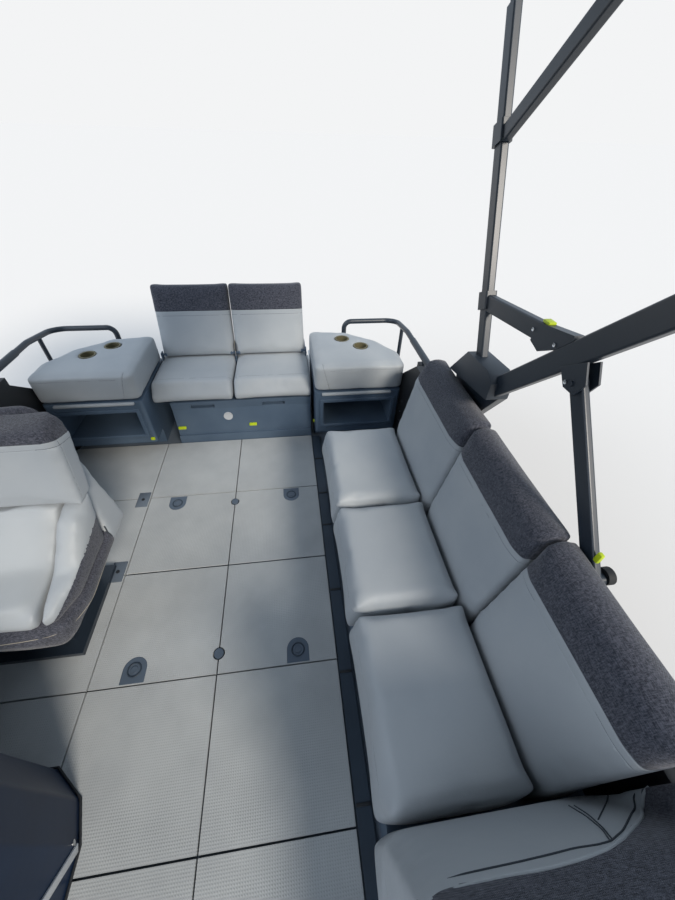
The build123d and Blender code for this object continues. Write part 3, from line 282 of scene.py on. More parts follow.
# %% Tweed
def woven(name, dark, pale, yarn=0.0016, relief=0.0003):
    """A heathered plain weave."""
    mat = surface(name, dark, 0.9, Sheen_Weight=0.25, Specular_IOR_Level=0.2)
    spot = place(mat)
    along = add(mat, "Mapping", {"Vector": spot, "Scale": (0.16, 1.0, 1.0)}).outputs["Vector"]
    across = add(mat, "Mapping", {"Vector": spot, "Scale": (1.0, 0.25, 0.25)}).outputs["Vector"]
    yarns = {0: noise(mat, yarn, 2, along), 1: noise(mat, yarn * 1.5, 2, across)}
    flecks = add(mat, "Math", yarns, operation="ADD")
    half = add(mat, "Math", {0: flecks.outputs[0], 1: 0.5}, operation="MULTIPLY")
    vary(mat, half.outputs[0], dark, pale, 0.4, 0.62)
    crossings = {0: waves(mat, yarn * 1.2, "X"), 1: waves(mat, yarn * 1.2, "DIAGONAL")}
    lattice = add(mat, "Math", crossings, operation="ADD")
    bump(mat, lattice.outputs[0], relief)
    return mat


tweed = woven("heathered_tweed", "2A2D36", "5A5C66")
canopy_cloth = woven("canopy_acrylic_canvas", "2C3138", "41474F", 0.0012, 0.00015)
print("cloths made")

# %% [markdown]
# Each CAD node now gets the finish of its material slot. The mesh stays as it is; only the
# material changes.

# %% Finish the CAD nodes
finishes = {
    "hull_plastic": hull_plastic, "deck_structure": deck_plastic, "bumper": bumper_rubber,
    "deck_tile": deck_pad, "track_plastic": track_plastic, "latch_plastic": latch_plastic,
    "engine_paint": engine_paint, "cast_alloy": cast_alloy, "stainless": stainless,
    "base_plastic": base_plastic, "vinyl": vinyl, "tweed": tweed, "cup_plastic": cup_plastic,
    "frame_paint": frame_paint, "panel_black": panel_black, "console_plastic": console_plastic,
    "screen": acrylic, "canopy_cloth": canopy_cloth, "grip": grip_rubber}
slots = {}
for part in frame["record"]["subparts"]:
    slots[part["node"]] = part["material_slot"]
for name, piece in cad.items():
    piece.data.materials.clear()
    piece.data.materials.append(finishes[slots[name]])
print("finished", len(cad), "nodes")

# %% [markdown]
# Blender's mesh tools work on the active object, on what is selected in its edit mode. A few small
# functions choose the object, open and close the edit mode, and give a flat mesh its thickness.

# %% Tools for meshes
def only(*objects):
    """Makes these the only selected objects, the first of them active."""
    bpy.ops.object.select_all(action="DESELECT")
    for one in objects:
        one.select_set(True)
    bpy.context.view_layer.objects.active = objects[0]


def edit(whole=False):
    """Opens the active mesh for editing; whole selects all of it."""
    bpy.ops.object.mode_set(mode="EDIT")
    if whole:
        bpy.ops.mesh.select_all(action="SELECT")


def leave():
    """Ends the editing."""
    bpy.ops.object.mode_set(mode="OBJECT")


def thicken(piece, thickness, offset=-1):
    """Gives a flat mesh its thickness: inwards at -1, to both sides at 0, outwards at 1."""
    only(piece)
    wall = piece.modifiers.new("Thickness", "SOLIDIFY")
    wall.thickness = thickness
    wall.offset = offset
    bpy.ops.object.modifier_apply(modifier=wall.name)


print("mesh tools ready")

# %% [markdown]
# A boat floats, so the studio floor lies at its waterline and hides what is below that. It has
# a hole inside the centre hull, or it would show in the engine bay when the lids are up. A plane
# cut by four planes leaves that hole's rim exact, which a boolean on so wide a plane wouldn't.

# %% Floor
WATERLINE = 0.30
HOLE_AFT, HOLE_FORE, HOLE_SIDE = -2.5, 0.6, 0.3


bpy.ops.mesh.primitive_plane_add(size=400, location=(0, 0, WATERLINE))
floor = bpy.context.object
floor.name = "studio_floor"
edit()
for x in (HOLE_AFT, HOLE_FORE):
    bpy.ops.mesh.select_all(action="SELECT")
    bpy.ops.mesh.bisect(plane_co=(x, 0, 0), plane_no=(1, 0, 0))
for y in (-HOLE_SIDE, HOLE_SIDE):
    bpy.ops.mesh.select_all(action="SELECT")
    bpy.ops.mesh.bisect(plane_co=(0, y, 0), plane_no=(0, 1, 0))
leave()
for face in floor.data.polygons:
    middle = face.center
    face.select = HOLE_AFT < middle.x < HOLE_FORE and abs(middle.y) < HOLE_SIDE
edit()
bpy.ops.mesh.delete(type="FACE")
leave()
floor.data.materials.append(surface("studio_floor_matte", "DBD8D4", 1.0, Specular_IOR_Level=0.0))
print("floor at", WATERLINE)

# %% [markdown]
# The light is a wide soft lamp from the port bow, where the day's light comes from, and a weak
# fill. Area lamps fade with distance and would leave the far floor dark, so both are suns.

# %% Lights
def sunlight(name, direction, angle, power, colour):
    """A distant light with soft edges, which lights the floor evenly out to the horizon."""
    bpy.ops.object.light_add(type="SUN", location=(0, 0, 8))
    light = bpy.context.object
    light.name = name
    light.data.angle = math.radians(angle)
    light.data.energy = power
    light.data.color = linear(colour)[:3]
    light.rotation_euler = Vector(direction).to_track_quat("-Z", "Y").to_euler()
    return light


key = sunlight("key_light", (-0.80, -0.42, -0.62), 16, 3.0, "FFF6EA")
fill = sunlight("fill_light", (-0.45, 0.75, -0.6), 40, 1.0, "EAF2FF")
print("lights:", key.name, "and", fill.name)

# %% [markdown]
# The background is white to the eye and through glass, while the boat is lit by a pale sky. The
# Light Path node tells the world which kind of ray asks, so one world can give both.

# %% Background
world = bpy.data.worlds.new("studio")
bpy.context.scene.world = world
world.use_nodes = True
shown = add(world, "Background", {"Color": linear("F3F4F5"), "Strength": 1.0})
rays = add(world, "LightPath")
looked_at = {0: rays.outputs["Is Camera Ray"], 1: rays.outputs["Is Transmission Ray"]}
either = add(world, "Math", looked_at, operation="MAXIMUM")
ambient = world.node_tree.nodes["Background"]
ambient.inputs["Color"].default_value = linear("D6E4F4")
ambient.inputs["Strength"].default_value = 0.85
mixed = add(world, "MixShader", {"Fac": either.outputs[0], 1: ambient.outputs[0], 2: shown.outputs[0]})
world.node_tree.links.new(mixed.outputs[0], world.node_tree.nodes["World Output"].inputs["Surface"])
bpy.context.scene.view_settings.view_transform = "Standard"
print("background ready")

# %% [markdown]
# The camera stands where the reference picture was taken: under the canopy near the helm console,
# looking aft and down with a very wide lens. Its place and turn were measured from the square deck tiles.

# %% Camera
right = Vector((0.12711, 0.99153, 0.02680))
down = Vector((0.66629, -0.06533, -0.74282))
ahead = Vector((-0.73478, 0.11228, -0.66895))
bpy.ops.object.camera_add()
camera = bpy.context.object
turn = Matrix((right, -down, -ahead)).transposed()
camera.matrix_world = Matrix.Translation((0.3807, 0.3870, 2.3038)) @ turn.to_4x4()
camera.data.lens = 14.343
camera.data.sensor_width = 36
camera.data.sensor_fit = "VERTICAL"
camera.data.sensor_height = 36
camera.data.clip_start = 0.05
bpy.context.scene.camera = camera
print("camera looks", tuple(round(x, 2) for x in ahead))

# %% [markdown]
# **Upholstery.** A boat cushion is foam in a sewn cover. The foam pushes the cover out, the seams
# hold it back, so faces are crowned and edges pull in between corners. Cloth simulation does that
# by itself: the CAD solid is copied, remeshed into even small faces, made slightly smaller and
# softened at its edges, and then blown up with a little air pressure.
#
# First, the copy: a CAD node may hold several cushions, so they are parted and put in order.

# %% Tools for copying CAD solids
def points(piece):
    """The corners of a mesh as a table."""
    table = np.empty(len(piece.data.vertices) * 3)
    piece.data.vertices.foreach_get("co", table)
    return table.reshape(-1, 3)


def put_points(piece, table):
    """Writes the corners back."""
    piece.data.vertices.foreach_set("co", table.ravel())
    piece.data.update()


def copies(node, axis):
    """The separate solids of a CAD node as new objects, in order along the axes (0 for X, 1 for Y)."""
    copy = bpy.data.objects.new(node + "_copy", cad[node].data.copy())
    bpy.context.collection.objects.link(copy)
    only(copy)
    bpy.ops.mesh.customdata_custom_splitnormals_clear()
    edit(whole=True)
    bpy.ops.mesh.remove_doubles(threshold=1e-5)
    bpy.ops.mesh.separate(type="LOOSE")
    leave()

    def order(one):
        table = points(one)
        return [round((table.min(axis=0) + table.max(axis=0))[a], 2) for a in axis]

    return sorted(bpy.context.selected_objects, key=order)


print("copying tool ready")

# %% [markdown]
# Every copy is remeshed into even faces, because cloth bends only where it has corners, and its
# edges are eased. Small tools come with it: one joins a box to a solid, for a lip or a rolled end,
# and one cuts a corner off.

# %% Tools for the foam
def soften(piece, name, voxel, rounds, tuck):
    """Remeshes a solid, rounds its edges and draws it in a little, ready to be blown up."""
    piece.name = name
    piece.data.name = name
    only(piece)
    remesh = piece.modifiers.new("Even faces", "REMESH")
    remesh.mode = "VOXEL"
    remesh.voxel_size = voxel
    bpy.ops.object.modifier_apply(modifier=remesh.name)
    edit(whole=True)
    bpy.ops.mesh.vertices_smooth(factor=0.5, repeat=rounds)
    leave()
    normals = np.empty(len(piece.data.vertices) * 3)
    piece.data.vertices.foreach_get("normal", normals)
    put_points(piece, points(piece) - normals.reshape(-1, 3) * tuck)


def block(low, high):
    """A plain box between two corners."""
    middle = [(a + b) / 2 for a, b in zip(low, high)]
    bpy.ops.mesh.primitive_cube_add(size=1, location=middle, scale=[b - a for a, b in zip(low, high)])
    added = bpy.context.object
    only(added)
    bpy.ops.object.transform_apply(location=True, scale=True)
    return added


def fuse(piece, added):
    """Joins one mesh to a solid; the remesh then makes them one skin."""
    only(piece, added)
    bpy.ops.object.join()


def slab(piece, low, high):
    """Adds a box to a solid."""
    fuse(piece, block(low, high))


def trim(piece, spot, way):
    """Cuts a corner off a solid with a plane and closes the cut."""
    only(piece)
    edit(whole=True)
    bpy.ops.mesh.bisect(plane_co=spot, plane_no=way, use_fill=True, clear_outer=True)
    leave()


print("foam tools ready")

# %% [markdown]
# The stern backs lean and fold about a pivot, and the helm seat narrows above its cushion like a
# bucket. Those places are named here, because the seams use them again.

# %% Places on the seats
BACK_LEAN = math.radians(16)
back_up = Vector((-math.sin(BACK_LEAN), 0, math.cos(BACK_LEAN)))
pivot = Vector((fore(-0.400), 0, up(0.475)))
HELM_MID = -0.745
CREASE = up(0.625)


def narrow(piece, low, high, share):
    """Draws a piece in towards the helm seat's middle, more and more from low to high."""
    table = points(piece)
    amount = share * np.clip((table[:, 2] - low) / (high - low), 0, 1)
    table[:, 1] = HELM_MID + (table[:, 1] - HELM_MID) * (1 - amount)
    put_points(piece, table)


print("helm seat's middle at", HELM_MID, "and its crease at", CREASE)

# %% [markdown]
# A plain CAD solid lacks what foam and sewing add: a lip over an edge, a rolled end, a longer
# skirt. Each cushion that has one gets it here, before it is softened.

# %% Shape of each cushion
def shape(piece, name):
    """What a cushion has beyond its plain solid: a lip, a round end, a longer skirt."""
    if name.startswith("stern_cushion"):
        # A lip runs on under the foot of the back.
        box = points(piece)
        lip_low = (fore(-0.440), box[:, 1].min(), up(0.4262))
        slab(piece, lip_low, (fore(-0.370), box[:, 1].max(), up(0.448)))
    if name.startswith("stern_back"):
        # A longer skirt, a fuller top, and a narrower slit between the two backs.
        table = points(piece)
        high = (table - np.array(pivot)) @ np.array(back_up)
        table[high < 0.1] -= np.array(back_up) * 0.024
        table[high > 0.3] += np.array(back_up) * 0.010
        inner = np.abs(table[:, 1]) < 0.05
        table[inner, 1] -= np.sign(table[inner, 1]) * 0.006
        put_points(piece, table)
    if name == "lounge_cushion_fore":
        # It closes the gap to the end back.
        table = points(piece)
        table[table[:, 0] > 0.3, 0] += 0.010
        put_points(piece, table)
    if name == "lounge_end_back":
        # Its outboard end wraps round the corner.
        slab(piece, (fore(2.025), 1.080, up(0.2453)), (fore(2.140), 1.130, up(0.830)))
    if name in ("helm_bolster_port", "helm_bolster_starboard"):
        # The bolsters bulge a little past the shell.
        table = points(piece)
        table[:, 1] += np.sign(table[:, 1] - HELM_MID) * 0.008
        put_points(piece, table)
    if name in ("lounge_back_aft", "lounge_back_mid", "lounge_back_fore"):
        # The roll at the top is fuller on its outboard side.
        table = points(piece)
        roll = (table[:, 1] > 1.10) & (table[:, 2] > up(0.75))
        table[roll] += (0, 0.012, 0.014)
        put_points(piece, table)
    if name == "lounge_back_aft":
        # The aft back's free end is rounded with three cuts.
        rounds = ((0.495, 0.78, (-1, 0, 0.30)), (0.515, 0.84, (-1, 0, 0.95)), (0.570, 0.875, (-0.45, 0, 1)))
        for x, z, way in rounds:
            trim(piece, (fore(x), 0, up(z)), way)
    if name.startswith("corner_pad"):
        # The pads reach over to the side rails.
        table = points(piece)
        outer = np.abs(table[:, 1]) > 1.05
        table[outer, 1] += np.sign(table[outer, 1]) * 0.014
        put_points(piece, table)
    if name == "helm_seat_body":
        # The shell draws in above the cushion.
        narrow(piece, up(0.42), up(0.56), 0.28)


print("cushion shapes ready")

# %% [markdown]
# On the real helm seat the cushion and the bolsters run up into the back, and the crease lies
# higher than in the CAD solids. So the foot of the back pad is cut off and handed down to the
# three pieces below it, and a wedge eases the step between them.

# %% Foot of the helm's back
FOOT_FRONT = -0.545


def ramp(piece, low, high, spot, way):
    """Adds a wedge to a solid: a box with one corner cut off by a plane."""
    wedge = block(low, high)
    trim(wedge, spot, way)
    fuse(piece, wedge)


def hand_down(back, others):
    """Cuts the foot off the helm's back pad and gives it to the cushion and the two bolsters.

    Each of the others comes with its two sides and how far its foot is brought forward.
    """
    for piece, low, high, shift in others:
        foot = bpy.data.objects.new("foot", back.data.copy())
        bpy.context.collection.objects.link(foot)
        trim(foot, (0, 0, CREASE - 0.005), (0, 0, 1))
        trim(foot, (0, low, 0), (0, -1, 0))
        trim(foot, (0, high, 0), (0, 1, 0))
        put_points(foot, points(foot) + (shift, 0, 0))
        fuse(piece, foot)
        inside = points(piece)
        sides = inside[:, 1].min() + 0.001, inside[:, 1].max() - 0.001
        rise = 0.045 if shift else 0.0
        front = FOOT_FRONT + shift
        ramp(piece, (front - 0.06, sides[0], up(0.42)), (front + 0.20, sides[1], CREASE - 0.010),
             (front + 0.004, 0, up(0.575) + rise), (0.75, 0, 1))
    trim(back, (0, 0, CREASE + 0.001), (0, 0, -1))


print("the back pad's front foot lies at", FOOT_FRONT)

# %% [markdown]
# The plan lists each CAD node with the cushions it holds, in order along the named axes, and the
# body that they ride on. The copies are shaped and softened in that order.

# %% Copy the CAD cushions
plan = [
    ("stern_cushions", (1,), ["stern_cushion_starboard", "stern_cushion_port"], "boat"),
    ("stern_back_pad_starboard", (1,), ["stern_back_starboard"], "stern_back_starboard"),
    ("stern_back_pad_port", (1,), ["stern_back_port"], "stern_back_port"),
    ("corner_pads", (1,), ["corner_pad_starboard", "corner_pad_port"], "boat"),
    ("lounge_cushions", (0,), ["lounge_cushion_aft", "lounge_cushion_mid", "lounge_cushion_fore"], "boat"),
    ("lounge_backs", (0,), ["lounge_back_aft", "lounge_back_mid", "lounge_back_fore"], "boat"),
    ("end_back", (0,), ["lounge_end_back"], "boat"),
    ("helm_seat_pads", (1, 0),
     ["helm_bolster_starboard", "helm_back", "helm_cushion", "helm_bolster_port"], "helm_seat"),
    ("helm_seat_shell", (0,), ["helm_seat_body"], "helm_seat"),
    ("bow_cushions", (1,), ["bow_cushion_starboard", "bow_cushion_port"], "boat"),
    ("bow_backs", (1,),
     ["bow_back_starboard", "bow_end_back_starboard", "bow_end_back_port", "bow_back_port"], "boat")]
VOXEL = 0.012
ROOM = 0.0015
CROWN = 0.006
FOOT_SHIFT = 0.020
soft = {}
bodies = {}
for node, axis, names, body in plan:
    found = copies(node, axis)
    assert len(found) == len(names), (node, len(found))
    if node == "helm_seat_pads":
        starboard, back, middle, port = found
        hand_down(back, ((starboard, -1.20, -0.988, FOOT_SHIFT), (middle, -0.986, -0.504, 0.0),
                         (port, -0.502, -0.30, FOOT_SHIFT)))
    for piece, name in zip(found, names):
        shape(piece, name)
        box = points(piece)
        soft[name] = {"piece": piece, "low": box.min(axis=0), "high": box.max(axis=0), "node": node}
        soften(piece, name, VOXEL, 5, 0.003)
        bodies[name] = body
print("copied", len(soft), "cushions")

# %% [markdown]
# All cushions are blown up in one run: twenty steps of Cloth with pressure and no gravity. How far
# a point may move is capped, and each cushion is then fitted to the room that its CAD solid holds,
# apart from a few millimetres of crown, so the crowned faces of neighbours just meet.

# %% Tools for the air in the cushions
SWELL = 0.011


def inflate(pieces):
    """Runs Cloth with pressure on all the pieces, and caps the result."""
    scene = bpy.context.scene
    for one in pieces:
        cloth = one["piece"].modifiers.new("Air", "CLOTH")
        cloth.settings.use_pressure = True
        cloth.settings.uniform_pressure_force = 4
        cloth.settings.effector_weights.gravity = 0
        cloth.settings.quality = 4
        cloth.point_cache.frame_end = 20
    for step in range(1, 21):
        scene.frame_set(step)
    for one in pieces:
        piece = one["piece"]
        rest = points(piece)
        only(piece)
        bpy.ops.object.modifier_apply(modifier="Air")
        moved = points(piece) - rest
        far = np.linalg.norm(moved, axis=1, keepdims=True)
        put_points(piece, rest + moved * np.minimum(1, SWELL / np.maximum(far, 1e-9)))
    scene.frame_set(1)


def finish_cushion(one):
    """Smooths and subdivides a cushion once, fills its room with it and shades it smooth."""
    piece = one["piece"]
    only(piece)
    edit(whole=True)
    bpy.ops.mesh.vertices_smooth(factor=0.5, repeat=3)
    leave()
    finer = piece.modifiers.new("Finer", "SUBSURF")
    finer.levels = 1
    finer.render_levels = 1
    bpy.ops.object.modifier_apply(modifier=finer.name)
    low = one["low"] - np.array([ROOM, ROOM, 0])
    high = one["high"] + np.array([ROOM, ROOM, CROWN])
    table = points(piece)
    now_low, now_high = table.min(axis=0), table.max(axis=0)
    put_points(piece, low + (table - now_low) * (high - low) / (now_high - now_low))
    bpy.ops.object.shade_smooth()
    piece.data.materials.clear()
    piece.data.materials.append(vinyl)
    piece.data.materials.append(tweed)


print("a point may swell by", SWELL)

# %% [markdown]
# What follows works the same on flat cushions.

# %% Blow the cushions up
inflate(list(soft.values()))
for one in soft.values():
    finish_cushion(one)
print("blown up", len(soft), "cushions,", sum(len(x["piece"].data.polygons) for x in soft.values()), "faces")

# %% [markdown]
# Each cushion now stands for its CAD solid, which is hidden, and rides on the same body.

# %% Bodies of the cushions
for name, one in soft.items():
    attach(one["piece"], bodies[name])
    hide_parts(one["node"])
print("cushions ride on", sorted(set(bodies.values())))

# %% [markdown]
# **Seams.** A seam pulls the cover in along a line. Here that line is where a plane cuts the
# cushion: three cuts side by side, and the middle one is sunk. The cut also gives a clean edge
# where two cloths meet.

# %% Seam tool
def cut(piece, spot, way, where):
    """Cuts the faces that pass a test with a plane."""
    only(piece)
    for face in piece.data.polygons:
        face.select = where(face.center)
    edit()
    bpy.ops.mesh.bisect(plane_co=spot, plane_no=way)
    bpy.ops.mesh.select_all(action="DESELECT")
    leave()


seams = []


def everywhere(spot):
    """The test that every face passes."""
    return True


def seam(name, spot, way, where=everywhere, depth=0.004, half=0.004):
    """Sews a seam into a cushion where a plane cuts it."""
    piece = soft[name]["piece"]
    spot, way = Vector(spot), Vector(way).normalized()
    bpy.ops.object.select_all(action="DESELECT")
    for offset in (-half, 0, half):
        cut(piece, spot + way * offset, way, where)
    table = points(piece)
    normals = np.empty(len(table) * 3)
    piece.data.vertices.foreach_get("normal", normals)
    on_line = np.abs((table - np.array(spot)) @ np.array(way)) < 2e-5
    chosen = np.array([where(Vector(p)) if hit else False for p, hit in zip(table, on_line)])
    table[chosen] -= normals.reshape(-1, 3)[chosen] * depth
    put_points(piece, table)
    sew(name, chosen)


print("seam tool ready")

# %% [markdown]
# At a seam one sees a fine dark line, the shade in its crease. That shade could be painted on the
# cover, but then it would have no shadow of its own, so the sunk line is copied as a thin tube whose
# dark colour is painted shade. Where two cloths meet at a seam, the faces beyond it get the other cloth.

# %% Tools for seam lines in painted shade, and tweed
def sew(name, chosen):
    """Copies the sunk loop as a thin tube whose dark colour is painted shade, so that the seam shows as a
    fine line.
    """
    piece = soft[name]["piece"]
    only(piece)
    before = set(bpy.data.objects)
    piece.data.vertices.foreach_set("select", chosen)
    edit()
    bpy.ops.mesh.select_mode(type="VERT")
    bpy.ops.mesh.duplicate()
    bpy.ops.mesh.separate(type="SELECTED")
    leave()
    line = (set(bpy.data.objects) - before).pop()
    only(line)
    edit(whole=True)
    bpy.ops.mesh.delete(type="ONLY_FACE")
    leave()
    bpy.ops.object.convert(target="CURVE")
    line.data.bevel_depth = 0.0011
    line.data.bevel_resolution = 1
    bpy.ops.object.convert(target="MESH")
    line = bpy.context.object
    seams.append(line)
    line.name = f"seam_{len(seams)}_{name}"
    line.data.name = line.name
    line.data.materials.clear()
    line.data.materials.append(painted_seam_shade)
    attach(line, bodies[name])


def clad(name, test):
    """Gives the faces that pass a test the tweed cover."""
    count = 0
    for face in soft[name]["piece"].data.polygons:
        if test(face.center):
            face.material_index = 1
            count += 1
    return count


print("thread and tweed tools ready")

# %% [markdown]
# The stern backs have a tweed band over the top third and a double seam just below it. Both run
# square across the leaning pad, so their planes lean with it.

# %% Seams of the stern backs
for name in ("stern_back_port", "stern_back_starboard"):
    band = pivot + back_up * 0.280
    seam(name, band, back_up)
    seam(name, band - back_up * 0.028, back_up, depth=0.002, half=0.002)
    print(name, "tweed faces:", clad(name, lambda p: (p - band).dot(back_up) > 0))

# %% [markdown]
# The lounge backs lean outboard and roll over at the top. Their vinyl face ends in a double seam,
# and tweed covers the roll and the outboard side.

# %% Seams of the lounge backs
face_up = Vector((0, 0.060, 0.305)).normalized()
roll_start = Vector((0, 1.012, 1.378))
for name in ("lounge_back_aft", "lounge_back_mid", "lounge_back_fore"):
    seam(name, roll_start, face_up)
    seam(name, roll_start - face_up * 0.022, face_up, lambda p: p.y < 1.04, 0.0025, 0.002)
    print(name, "tweed faces:", clad(name, lambda p: (p - roll_start).dot(face_up) > 0 or p.y > 1.075))

# %% [markdown]
# The bow seats repeat the lounge's sewing on both sides, so the same planes are mirrored.

# %% Seams of the bow backs and the end back
for name, way in (("bow_back_port", 1), ("bow_back_starboard", -1)):
    spot = Vector((0, way * 1.012, 1.378))
    lie = Vector((0, way * 0.060, 0.305)).normalized()
    seam(name, spot, lie)
    clad(name, lambda p: (p - spot).dot(lie) > 0 or abs(p.y) > 1.075)
edge_y = (0.50, 0.765, 0.842, 0.875, 0.920, 0.980, 1.015, 1.064, 1.082, 1.088, 1.135)
edge_z = (1.401, 1.398, 1.391, 1.385, 1.364, 1.319, 1.292, 1.250, 1.254, 1.268, 1.275)
clad("lounge_end_back", lambda p: p.z > np.interp(p.y, edge_y, edge_z) or p.x > fore(2.20))
print("bow seams sewn")

# %% [markdown]
# **Canopy.** One sheet of acrylic canvas is stretched over the three bows. It follows their
# crown across the boat and sags a little between them, because cloth can't span a gap straight.

# %% Canopy
canopy_aft, canopy_fore, canopy_half = fore(0.290), fore(2.560), 1.060
edge_high, crown_rise = 2.720, 0.070
bows = (-1.334, -0.580, 0.890)
bpy.ops.mesh.primitive_plane_add(size=1, location=(0, 0, 0))
canopy = bpy.context.object
canopy.name = "canopy_sheet"
edit()
bpy.ops.mesh.subdivide(number_cuts=63)
leave()
sheet = points(canopy)
x = canopy_aft + (sheet[:, 0] + 0.5) * (canopy_fore - canopy_aft)
y = sheet[:, 1] * 2 * canopy_half
sag = np.zeros(len(x))
for one, two, depth in ((bows[0], bows[1], 0.010), (bows[1], bows[2], 0.024)):
    inside = (x > one) & (x < two)
    sag[inside] = depth * np.sin(np.pi * (x[inside] - one) / (two - one)) ** 2
tight = 1 - (y / canopy_half) ** 4 * 0.7
z = edge_high + crown_rise * (1 - (y / canopy_half) ** 2) + 0.004 - sag * tight
put_points(canopy, np.stack([x, y, z], axis=1))
thicken(canopy, 0.0016, 1)
bpy.ops.object.shade_smooth()
canopy.data.materials.append(canopy_cloth)
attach(canopy, "boat")
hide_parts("canopy")
print("canopy sheet laid")

# %% [markdown]
# **Small trim.** Tabs, screws and rims are what make a boat look assembled. Each starts as a
# primitive of its real size; its edges are bevelled in edit mode, because no moulded or machined
# part has a perfectly sharp edge, and the highlight on that small bevel is what the eye reads.

# %% Tools for boxes
def settle(piece, name, material, body, edge=0.0):
    """Applies the place, bevels the edges, smooths, paints and mounts a new piece."""
    piece.name = name
    piece.data.name = name
    only(piece)
    bpy.ops.object.transform_apply(location=True, rotation=True, scale=True)
    if edge:
        edit(whole=True)
        bpy.ops.mesh.bevel(offset=edge, segments=2, affect="EDGES")
        leave()
    bpy.ops.object.shade_smooth_by_angle(angle=math.radians(35))
    piece.data.materials.append(material)
    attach(piece, body)
    return piece


def brick(name, middle, size, material, body="boat", edge=0.002, turn=(0, 0, 0)):
    """A box with soft edges."""
    bpy.ops.mesh.primitive_cube_add(size=1, location=middle, rotation=turn, scale=size)
    return settle(bpy.context.object, name, material, body, edge)


print("box tool ready")

# %% [markdown]
# Screws, knobs and buttons are short cylinders with an inset face. Piping and wires are a curve
# with a round bevel: it keeps its section through every bend, which a row of cylinders can't.

# %% Tools for round pieces
def disc(name, middle, radius, thick, way, material, body="boat"):
    """A round plate that faces a direction, with an inset face as pressed and turned parts have."""
    turn = Vector(way).to_track_quat("Z", "Y").to_euler()
    bpy.ops.mesh.primitive_cylinder_add(
        vertices=32, radius=radius, depth=thick, location=middle, rotation=turn)
    piece = bpy.context.object
    only(piece)
    edit()
    bpy.ops.mesh.select_mode(type="FACE")
    bpy.ops.mesh.select_all(action="DESELECT")
    leave()
    for face in piece.data.polygons:
        face.select = len(face.vertices) > 4 and face.normal.z > 0.9
    edit()
    bpy.ops.mesh.inset(thickness=radius * 0.3, depth=-thick * 0.2)
    leave()
    return settle(piece, name, material, body)


def tube(name, path, radius, material, body="boat", closed=False):
    """A thin round tube along points: piping, a cable or a bent wire."""
    curve = bpy.data.curves.new(name, "CURVE")
    curve.dimensions = "3D"
    line = curve.splines.new("POLY")
    line.points.add(len(path) - 1)
    for point, spot in zip(line.points, path):
        point.co = (*spot, 1)
    line.use_cyclic_u = closed
    curve.bevel_depth = radius
    curve.bevel_resolution = 3
    curve.use_fill_caps = not closed
    piece = bpy.data.objects.new(name, curve)
    bpy.context.collection.objects.link(piece)
    only(piece)
    bpy.ops.object.convert(target="MESH")
    return settle(bpy.context.object, name, material, body)


print("tools for round pieces ready")

# %% [markdown]
# The stern seat's base has lime pull tabs low on its front face and one pale round light. They
# are small, but they are the only bright colour on the boat, so their places matter.

# %% Tabs and light on the stern seat base
front = fore(-0.020)
for number, (y, wide) in enumerate(((-0.382, 0.052), (0.095, 0.052), (0.535, 0.036))):
    brick(f"lime_tab_{number}", (front + 0.004, y, up(0.120)), (0.016, wide, 0.020), lime_plastic, edge=0.004)
brick("lime_tab_cubby", (fore(0.094), -0.545, up(0.130)), (0.012, 0.026, 0.020), lime_plastic, edge=0.004)
disc("base_light", (fore(-0.024), -0.063, up(0.195)), 0.030, 0.010, (1, 0, 0), trim_plastic)
print("tabs and light placed")

# %% [markdown]
# Between the two stern backs a short webbing loop folds the port back forward, so it is sewn to
# that back and rides on it. Webbing is flat, so it is a thin box bent over by a few extrusions.

# %% Pull loop between the stern backs
LOOP_SIDE, LOOP_THICK = 0.0024, 0.0026
bpy.ops.mesh.primitive_cube_add(
    size=1, location=(fore(-0.388), LOOP_SIDE, up(0.462)), scale=(0.017, LOOP_THICK, 0.012))
loop = bpy.context.object
only(loop)
bpy.ops.object.transform_apply(location=True, scale=True)
for step in ((-0.002, 0, 0.030), (-0.008, 0, 0.028), (-0.016, 0, 0.016), (-0.018, 0, 0.002)):
    for face in loop.data.polygons:
        face.select = False
    top = max(loop.data.polygons, key=lambda f: f.center.z - f.center.x * 0.5)
    top.select = True
    edit()
    bpy.ops.mesh.extrude_region_move(TRANSFORM_OT_translate={"value": step})
    leave()
settle(loop, "seat_pull_loop", thread, "stern_back_port")
print("loop made")

# %% [markdown]
# Every lid has a flush latch. The CAD part is the cup; a thin lift ring lies in it, with a round
# button in its middle.

# %% Lift rings in the latches
RING_RADIUS = 0.026
for row in ("aft", "fore"):
    for side in ("port", "starboard"):
        body = f"hatch_{row}_{side}"
        low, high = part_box(f"hatch_latch_{row}_{side}")
        x, y = (low[0] + high[0]) / 2, (low[1] + high[1]) / 2
        ring = [(x + RING_RADIUS * math.cos(a), y + RING_RADIUS * math.sin(a), high[2] + 0.0015)
                for a in np.linspace(0, 2 * math.pi, 25)[:-1]]
        tube(f"lift_ring_{row}_{side}", ring, 0.0028, track_plastic, body, closed=True)
        disc(f"latch_button_{row}_{side}", (x, y, high[2] + 0.001), 0.014, 0.003, (0, 0, 1),
             latch_plastic, body)
print("latch rings laid")

# %% [markdown]
# A dark channel runs along the port side of the deck, with a joint wherever two lengths meet, and
# the starboard tiles carry small anchor plates with a countersunk screw.

# %% Track joints and anchor plates
TRACK_MID, PLATE_MID = 0.530, -0.540
for number, x in enumerate((0.25, 0.56, 0.80, 1.19, 1.55, 1.95)):
    brick(f"track_joint_{number}", (fore(x), TRACK_MID, up(-0.0035)), (0.010, 0.050, 0.004),
          bumper_rubber, edge=0.001)
for number, x in enumerate((0.51, 0.98)):
    brick(f"anchor_plate_{number}", (fore(x), PLATE_MID, up(0.001)), (0.110, 0.066, 0.005),
          deck_plastic, edge=0.0015)
    disc(f"anchor_screw_{number}", (fore(x), PLATE_MID, up(0.004)), 0.009, 0.003, (0, 0, 1), bumper_rubber)
print("track and plates placed")
